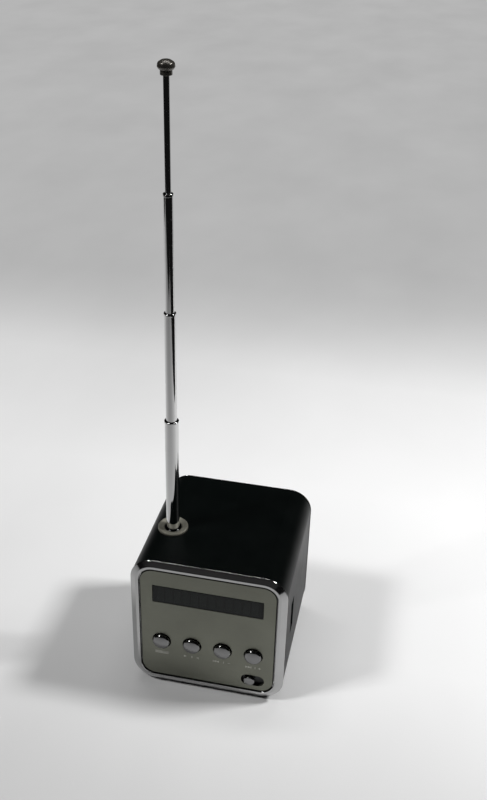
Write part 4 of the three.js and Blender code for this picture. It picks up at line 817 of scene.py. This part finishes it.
def post(x):
    """An upright bar as tall as a legend."""
    return bar(x, 0, BAR_HALF, LEGEND_HALF)


def arrow(x, side):
    """A filled triangle that points to the left (-1) or the right (1)."""
    base = x - side * LEGEND_HALF
    return [(x + side * LEGEND_HALF, 0), (base, LEGEND_HALF), (base, -LEGEND_HALF)]


def double_arrow(side):
    """Two arrows that point at a post, at the left end of a legend."""
    first = side * ARROW_SHIFT - LEGEND_REACH
    return [
        arrow(first, side), arrow(first + ARROW_PITCH, side),
        post(LEGEND_HALF - LEGEND_REACH + side * POST_SHIFT),
    ]


pale_ink = printed_ink()
legends = {
    "legend_list": [bar(0, k * LINE_PITCH, LEGEND_REACH, BAR_HALF) for k in (-1, 0, 1)],
    "legend_play": [
        arrow(-LEGEND_REACH, 1), post(0), post(LEGEND_REACH - LEGEND_HALF), post(LEGEND_REACH),
    ],
    "legend_back": [
        *double_arrow(-1), post(BACK_POST), bar(LEGEND_REACH, 0, LEGEND_HALF, BAR_HALF),
    ],
    "legend_forward": [
        *double_arrow(1), post(FORWARD_POST), bar(LEGEND_REACH, 0, LEGEND_HALF, BAR_HALF),
        bar(LEGEND_REACH, -PLUS_ARM_Z, BAR_HALF, PLUS_ARM_HALF),
        bar(LEGEND_REACH, PLUS_ARM_Z, BAR_HALF, PLUS_ARM_HALF),
    ],
}
for (x, z), (name, marks) in zip(button_places, legends.items()):
    shapes = [shifted(mark, x, z - LEGEND_DROP) for mark in marks]
    front_y = panel_low.y - INK_THICKNESS
    back_y = panel_low.y + INK_THICKNESS
    legend = plate(name, shapes, front_y, back_y, pale_ink, edge=0)
    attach(legend, "case")


# Power switch. A small chrome knob rides in the slot on a black moulded slider, whose stem moves
# the switch on the circuit board.
def moulded(name, colour, dullness):
    """A moulded or cast material with a fine grain and a slightly uneven colour."""
    plastic = Finish(name)
    grain = plastic.noise(0.18 * MM, 3)
    haze = plastic.noise(7 * MM, 2)
    darker = tuple(0.7 * part for part in colour)
    return plastic.coated(
        Base_Color=plastic.tint(0.5 * grain + 0.5 * haze, darker, colour),
        Roughness=dullness + 0.15 * grain, Normal=plastic.relief(grain, 0.006 * MM),
    )


def wear(finish, *nodes):
    """Gives CAD nodes their finish."""
    for node in nodes:
        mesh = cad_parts[node].data
        mesh.materials.clear()
        mesh.materials.append(finish)


black_plastic = moulded("black_moulding", (0.014, 0.014, 0.015), dullness=0.45)
KNOB_RADIUS = (knob_high.x - knob_low.x) / 2
KNOB_CROWN = 5 * MM
KNOB_SHOULDER = 0.5 * MM
knob_x = (knob_low.x + knob_high.x) / 2
knob_profile = [(0, knob_high.y), (KNOB_RADIUS, knob_high.y)]
knob_profile += cap_front(KNOB_RADIUS, knob_low.y, KNOB_CROWN, KNOB_SHOULDER)
knob = turned("power_knob", knob_profile, (knob_x, slot_z), "Y", dark_chrome, sides=40)
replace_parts(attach(knob, "power_switch"), "power_switch_knob")
wear(black_plastic, "power_switch_slider")


# Aerial tubes. Chrome-plated brass tubes slide in each other. Each has a rolled mouth that grips
# the next one, and each that slides has a bush round its foot. A solid rod slides in the last.
TUBE_NODES = ("aerial_outer_tube", "aerial_tube_1", "aerial_tube_2", "aerial_tube_3")
TUBE_BODIES = ("case", "aerial_stage_1", "aerial_stage_2", "aerial_stage_3")
TUBE_RADIUS = (2.6 * MM, 2.2 * MM, 1.75 * MM, 1.375 * MM)
TUBE_BORE = (2.4 * MM, 2 * MM, 1.55 * MM, 1.175 * MM)
ROD_RADIUS = 0.875 * MM
SLIDING_GAP = 0.08 * MM
BEAD_HEIGHT = 0.9 * MM
BEAD_FOOT = 0.92 * BEAD_HEIGHT
BEAD_PROUD = 0.12 * MM
BEAD_EDGE = 0.18 * MM
MOUTH_EDGE = 0.04 * MM
BUSH_HEIGHT = 2.2 * MM
BUSH_TAPER = 0.3 * MM
aerial_centre = (aerial_x, aerial_y)
aerial_chrome = chrome_plate("aerial_chrome", smudge=0.05)
# The fixed outer tube is near-black chrome, so that its mouth shows as a dark ring at the aerial's
# foot: painted shade.
shade_black_chrome = chrome_plate("shade_black_chrome", smudge=0.05, tone=0.045)
for index, (node, body) in enumerate(zip(TUBE_NODES, TUBE_BODIES)):
    low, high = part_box(node)
    radius, bore = TUBE_RADIUS[index], TUBE_BORE[index]
    inner = (*TUBE_RADIUS[1:], ROD_RADIUS)[index] + SLIDING_GAP
    bead = radius + BEAD_PROUD
    foot = [(bore, low.z, 0), (radius, low.z, 0)]
    finish = shade_black_chrome
    if index:
        bush = TUBE_BORE[index - 1] - SLIDING_GAP
        foot = [
            (bore, low.z, 0), (bush, low.z, 0), (bush, low.z + BUSH_HEIGHT, 0),
            (radius, low.z + BUSH_HEIGHT + BUSH_TAPER, 0),
        ]
        finish = aerial_chrome
    mouth = [
        (radius, high.z - BEAD_HEIGHT, 0), (bead, high.z - BEAD_FOOT, MOUTH_EDGE),
        (bead, high.z, BEAD_EDGE), (inner, high.z, MOUTH_EDGE),
        (inner, high.z - BEAD_HEIGHT / 2, 0), (bore, high.z - BEAD_HEIGHT, 0),
    ]
    tube = turned(f"{node}_chrome", softened(foot + mouth), aerial_centre, "Z", finish)
    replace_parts(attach(tube, body), node)

rod_low, rod_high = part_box("aerial_rod")
rod_bush = TUBE_BORE[-1] - SLIDING_GAP
rod_profile = [
    (0, rod_low.z), (rod_bush, rod_low.z), (rod_bush, rod_low.z + BUSH_HEIGHT),
    (ROD_RADIUS, rod_low.z + BUSH_HEIGHT + BUSH_TAPER), (ROD_RADIUS, rod_high.z), (0, rod_high.z),
]
rod = turned("aerial_rod_chrome", rod_profile, aerial_centre, "Z", aerial_chrome)
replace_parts(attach(rod, "aerial_tip"), "aerial_rod")


# Aerial tip. A turned knob with a collar is fixed on the end of the rod. Each row of CAP_SHAPE is a
# share of its radius, a share of its height above the collar, and a rounding in millimetres.
COLLAR_RADIUS = 1.65 * MM
COLLAR_HEIGHT = 1.3 * MM
COLLAR_EDGE = 0.15 * MM
NECK_EDGE = 0.1 * MM
CAP_SHAPE = ((0.8, 0.05, 0.2), (1, 0.3, 0.45), (0.93, 0.72, 0.9), (0.45, 1, 0.9))
tip_low, tip_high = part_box("aerial_knob")
TIP_RADIUS = (tip_high.x - tip_low.x) / 2
neck = tip_low.z + COLLAR_HEIGHT
cap_height = tip_high.z - neck
tip_profile = softened((
    (0, tip_low.z, 0), (COLLAR_RADIUS, tip_low.z, COLLAR_EDGE), (COLLAR_RADIUS, neck, NECK_EDGE),
    *((share * TIP_RADIUS, neck + height * cap_height, rounding * MM)
      for share, height, rounding in CAP_SHAPE),
    (0, tip_high.z, 0),
), steps=6)


def worn_plating():
    """Plating that handling has dulled to a dark grey."""
    worn = Finish("worn_plating")
    haze = worn.noise(2 * MM, 3)
    return worn.coated(
        Base_Color=worn.tint(haze, (0.05, 0.046, 0.04), (0.11, 0.103, 0.09)),
        Metallic=0.6, Roughness=0.24 + 0.1 * haze, Normal=worn.relief(haze, 0.004 * MM),
    )


tip = turned("aerial_tip_knob", tip_profile, aerial_centre, "Z", worn_plating())
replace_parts(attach(tip, "aerial_tip"), "aerial_knob")


# Aerial mounting. A dished rosette with a threaded barrel passes through the case, held by a brass
# nut inside, where a moulded socket carries the tube's foot and a brass blade touches it. Each row
# of RIM_SHAPE is a share of the rim's width, a share of its height, and a rounding in millimetres.
BARREL_RADIUS = 3.9 * MM
ROSETTE_RIM = 0.6 * MM
ROSETTE_RADIUS = (rosette_high.x - rosette_low.x) / 2
ROSETTE_BORE = 2.82 * MM
RIM_SHAPE = ((0, 0, 0.05), (0, 0.6, 0.1), (0.4, 1, 0.12), (1, 0.9, 0.1))
BORE_HEIGHT = 0.35
BORE_EDGE = 0.1 * MM
# Painted shade round the aerial's bore: fully dark inside the first radius, none beyond the second.
BORE_SHADE_RADIUS = 2.75 * MM
UNSHADED_RADIUS = 3.2 * MM


def satin_nickel():
    """Satin nickel plating, darkened by painted shade round the bore."""
    nickel = Finish("satin_nickel")
    grain = nickel.noise(0.15 * MM, 3)
    haze = nickel.noise(3 * MM, 2)
    ends = {0: nickel.place((1, 1, 0)), 1: (aerial_x, aerial_y, 0)}
    radius = nickel.node("VectorMath", {"operation": "DISTANCE"}, ends, "Value")
    # Painted shade: the plating darkens towards the bore, where the dish falls into the shade round
    # the tube.
    unshaded = nickel.node("MapRange", {}, {
        "Value": radius, "From Min": BORE_SHADE_RADIUS, "From Max": UNSHADED_RADIUS,
    })
    return nickel.coated(
        Base_Color=nickel.tint(
            unshaded * (0.6 + 0.2 * grain + 0.2 * haze), (0.015, 0.015, 0.013), (0.25, 0.243, 0.2),
        ),
        Metallic=0.5, Roughness=0.42 + 0.15 * grain, Normal=nickel.relief(grain, 0.004 * MM),
    )


rise = rosette_high.z - shell_high.z
rosette_profile = softened((
    (ROSETTE_BORE, rosette_low.z, 0), (BARREL_RADIUS, rosette_low.z, 0),
    (BARREL_RADIUS, shell_high.z, 0),
    *((ROSETTE_RADIUS - inset * ROSETTE_RIM, shell_high.z + height * rise, rounding * MM)
      for inset, height, rounding in RIM_SHAPE),
    (ROSETTE_BORE, shell_high.z + BORE_HEIGHT * rise, BORE_EDGE),
))
rosette = turned(
    "aerial_rosette_dish", rosette_profile, aerial_centre, "Z", satin_nickel(), sides=64,
)
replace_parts(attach(rosette, "case"), "aerial_rosette")


def plain_metal(name, colour, dullness, along):
    """Bare or plated metal with fine drawn lines along one axis."""
    metal = Finish(name)
    lines = metal.noise(0.15 * MM, 3, along)
    haze = metal.noise(4 * MM, 3)
    darker = tuple(0.72 * part for part in colour)
    return metal.coated(
        Base_Color=metal.tint(0.5 * lines + 0.5 * haze, darker, colour), Metallic=1.0,
        Roughness=dullness + 0.15 * lines, Normal=metal.relief(lines, 0.004 * MM),
    )


brass = plain_metal("brass", (0.72, 0.55, 0.27), dullness=0.25, along=(1, 1, 0.1))
wear(brass, "aerial_nut", "aerial_contact")
wear(black_plastic, "aerial_foot")


# Sockets. A tall plated-steel socket with a white tongue and brass contacts opens in the right
# side, and a card reader, a charging socket and an audio socket in the left side. They are soldered
# to the boards.
CONTACT_COUNT = 4
CONTACT_PITCH = 2.4 * MM
CONTACT_HALF = 0.5 * MM
CONTACT_PROUD = 0.05 * MM
CONTACT_CORNER = 0.4 * CONTACT_PROUD
CONTACT_START = 3 * MM
CONTACT_END = 0.8 * MM
plated_steel = plain_metal("plated_steel", (0.6, 0.6, 0.61), dullness=0.22, along=(0.1, 1, 1))
white_plastic = moulded("white_moulding", (0.78, 0.78, 0.75), dullness=0.35)
wear(plated_steel, "usb_shell", "card_socket", "charge_socket")
wear(white_plastic, "usb_tongue")
wear(black_plastic, "audio_socket")
tongue_low, tongue_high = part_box("usb_tongue")
tongue_z = (tongue_low.z + tongue_high.z) / 2
for index in range(CONTACT_COUNT):
    z = tongue_z + (index - (CONTACT_COUNT - 1) / 2) * CONTACT_PITCH
    loops = [
        [(x, tongue_high.y + u + CONTACT_PROUD / 2, z + v)
         for u, v in outline(CONTACT_PROUD, CONTACT_HALF, CONTACT_CORNER, steps=2)]
        for x in (tongue_low.x + CONTACT_START, tongue_high.x - CONTACT_END)
    ]
    blade = skin(f"usb_contact_{index + 1}", loops, brass)
    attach(blade, "case")


# Battery door. A moulded door closes the battery compartment in the underside. It has a round seat
# for its screw, and a row of shallow grooves as a grip.
DOOR_EDGE = 0.15 * MM
DOOR_CORNER = 0.8 * MM
SEAT_RADIUS = 1.95 * MM
SEAT_DEPTH = 0.6 * MM
GROOVE_COUNT = 7
GROOVE_PITCH = 1.1 * MM
GROOVE_START = 3 * MM
GROOVE_DEPTH = 0.3 * MM
GROOVE_HALF_X = 4.5 * MM
GROOVE_HALF_Y = 0.25 * MM
GROOVE_CORNER = 0.24 * MM
screw_low, screw_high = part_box("battery_door_screw")
screw_x = (screw_low.x + screw_high.x) / 2
screw_y = (screw_low.y + screw_high.y) / 2


def sunk(name, shape, x, y, surface, depth, finish):
    """A cutter for a hollow of that shape and depth in a surface that faces down."""
    loops = [[(x + u, y + v, z) for u, v in shape] for z in (surface - depth, surface + depth)]
    return skin(name, loops, finish)


door_steps = softened((
    (0, door_high.z, 0), (0, door_low.z, DOOR_EDGE), (door_half_x, door_low.z, 0),
))[:-1]
door_loops = [
    [(door_middle.x + u, door_middle.y + v, z)
     for u, v in outline(door_half_x - inset, door_half_y - inset, DOOR_CORNER, steps=6)]
    for inset, z in door_steps
]
battery_door = skin("battery_door_lid", door_loops, black_plastic)
seat = ring_of(SEAT_RADIUS, 0, 0, sides=32)
hollows = [sunk("seat", seat, screw_x, screw_y, door_low.z, SEAT_DEPTH, black_plastic)]
groove = outline(GROOVE_HALF_X, GROOVE_HALF_Y, GROOVE_CORNER, steps=4)
for index in range(GROOVE_COUNT):
    y = door_low.y + GROOVE_START + index * GROOVE_PITCH
    hollows.append(
        sunk("groove", groove, door_middle.x, y, door_low.z, GROOVE_DEPTH, black_plastic),
    )
cut(battery_door, hollows)
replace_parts(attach(battery_door, "case"), "battery_door")


# Door screw. A plated steel screw with a slotted, rounded head holds the battery door, and its head
# lies sunk in the door's seat.
HEAD_RADIUS = 1.8 * MM
HEAD_HEIGHT = 0.5 * MM
HEAD_EDGE = 0.2 * MM
SHANK_RADIUS = 0.9 * MM
DRIVER_SLOT_HALF = 0.25 * MM
DRIVER_SLOT_DEPTH = 0.25 * MM
head_top = screw_low.z + HEAD_HEIGHT
screw_profile = softened((
    (0, screw_low.z, 0), (HEAD_RADIUS, screw_low.z, HEAD_EDGE), (HEAD_RADIUS, head_top, 0),
    (SHANK_RADIUS, head_top, 0), (SHANK_RADIUS, screw_high.z, 0), (0, screw_high.z, 0),
))
door_screw = turned(
    "door_screw_slotted", screw_profile, (screw_x, screw_y), "Z", plated_steel, sides=40,
)
driver_slot = sunk(
    "driver_slot", bar(0, 0, DRIVER_SLOT_HALF, 1.2 * HEAD_RADIUS),
    screw_x, screw_y, screw_low.z, DRIVER_SLOT_DEPTH, plated_steel,
)
cut(door_screw, [driver_slot])
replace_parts(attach(door_screw, "case"), "battery_door_screw")


# Feet. Four discs of black rubber, each glued to a corner of the underside, lift the case off the
# table.
FOOT_EDGE = 0.2 * MM


def foot_rubber():
    """Black rubber with a fine grain and a little dust."""
    soft = Finish("foot_rubber")
    grain = soft.noise(0.12 * MM, 4)
    dust = soft.noise(1.5 * MM, 3)
    return soft.coated(
        Base_Color=soft.tint(0.4 * grain + 0.4 * dust, (0.01, 0.01, 0.01), (0.045, 0.045, 0.043)),
        Roughness=0.75 + 0.2 * grain, Normal=soft.relief(grain, 0.02 * MM),
    )


black_rubber = foot_rubber()
for number in range(1, 5):
    low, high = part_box(f"foot_{number}")
    foot_radius = (high.x - low.x) / 2
    foot_profile = softened((
        (0, low.z, 0), (foot_radius, low.z, FOOT_EDGE), (foot_radius, high.z, 0), (0, high.z, 0),
    ))
    centre = ((low.x + high.x) / 2, (low.y + high.y) / 2)
    foot = turned(f"rubber_foot_{number}", foot_profile, centre, "Z", black_rubber, sides=40)
    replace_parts(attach(foot, "case"), f"foot_{number}")


# Circuit boards. The front board is screwed to the posts of a moulded frame behind the panel, and
# the main board stands on the battery holder. Both are lacquered green, and carry the display
# module, the switches and the connector.
def board_lacquer():
    """Green lacquer over a glass weave, with raised tracks."""
    lacquer = Finish("board_lacquer")
    weave = lacquer.noise(0.4 * MM, 2)
    tracks = lacquer.node(
        "ValToRGB", {"stops": ((0.5, 0), (0.53, 1))},
        {"Fac": lacquer.noise(1.6 * MM, 0, (1, 1, 0.3))},
    )
    share = 0.7 * tracks + 0.3 * weave
    return lacquer.coated(
        Base_Color=lacquer.tint(share, (0.012, 0.08, 0.03), (0.03, 0.17, 0.06)),
        Roughness=0.28 + 0.12 * weave, Normal=lacquer.relief(tracks, 0.02 * MM),
    )


wear(board_lacquer(), "front_board", "main_board")
wear(
    black_plastic, "display_module", "front_frame", "board_connector",
    "tact_switch_1", "tact_switch_2", "tact_switch_3", "tact_switch_4",
)
wear(plated_steel, "power_switch_body", "board_screw_1", "board_screw_2")


# Loudspeaker. A cone of pressed paper in a steel basket, with a rubber surround and a coil of
# copper wire that moves in the gap of a ferrite magnet. It is held behind the rear grille.
def cone_paper():
    """Black pressed paper with coarse fibres."""
    pulp = Finish("cone_paper")
    fibre = pulp.noise(0.3 * MM, 4)
    return pulp.coated(
        Base_Color=pulp.tint(fibre, (0.008, 0.008, 0.008), (0.035, 0.034, 0.033)),
        Roughness=0.8 + 0.15 * fibre, Normal=pulp.relief(fibre, 0.03 * MM),
    )


wear(cone_paper(), "speaker_cone", "speaker_dust_cap")
wear(black_rubber, "speaker_surround", "speaker_gasket")
wear(plated_steel, "speaker_basket", "speaker_yoke", "speaker_top_plate")
wear(moulded("ferrite", (0.05, 0.05, 0.052), dullness=0.6), "speaker_magnet")
wear(
    plain_metal("copper_wire", (0.6, 0.3, 0.16), dullness=0.3, along=(1, 0.08, 1)), "speaker_coil",
)


# Battery. A flat cell in blue shrink wrap lies in a holder of black moulded plastic over the door
# in the underside.
wear(moulded("cell_wrap", (0.04, 0.12, 0.28), dullness=0.3), "battery_cell")
wear(black_plastic, "battery_holder")


# Bezel screws. Four screws of plated steel, hidden behind the panels, hold the bezels to the bosses
# in the case.
wear(
    plated_steel, "front_bezel_screw_1", "front_bezel_screw_2",
    "rear_bezel_screw_1", "rear_bezel_screw_2",
)
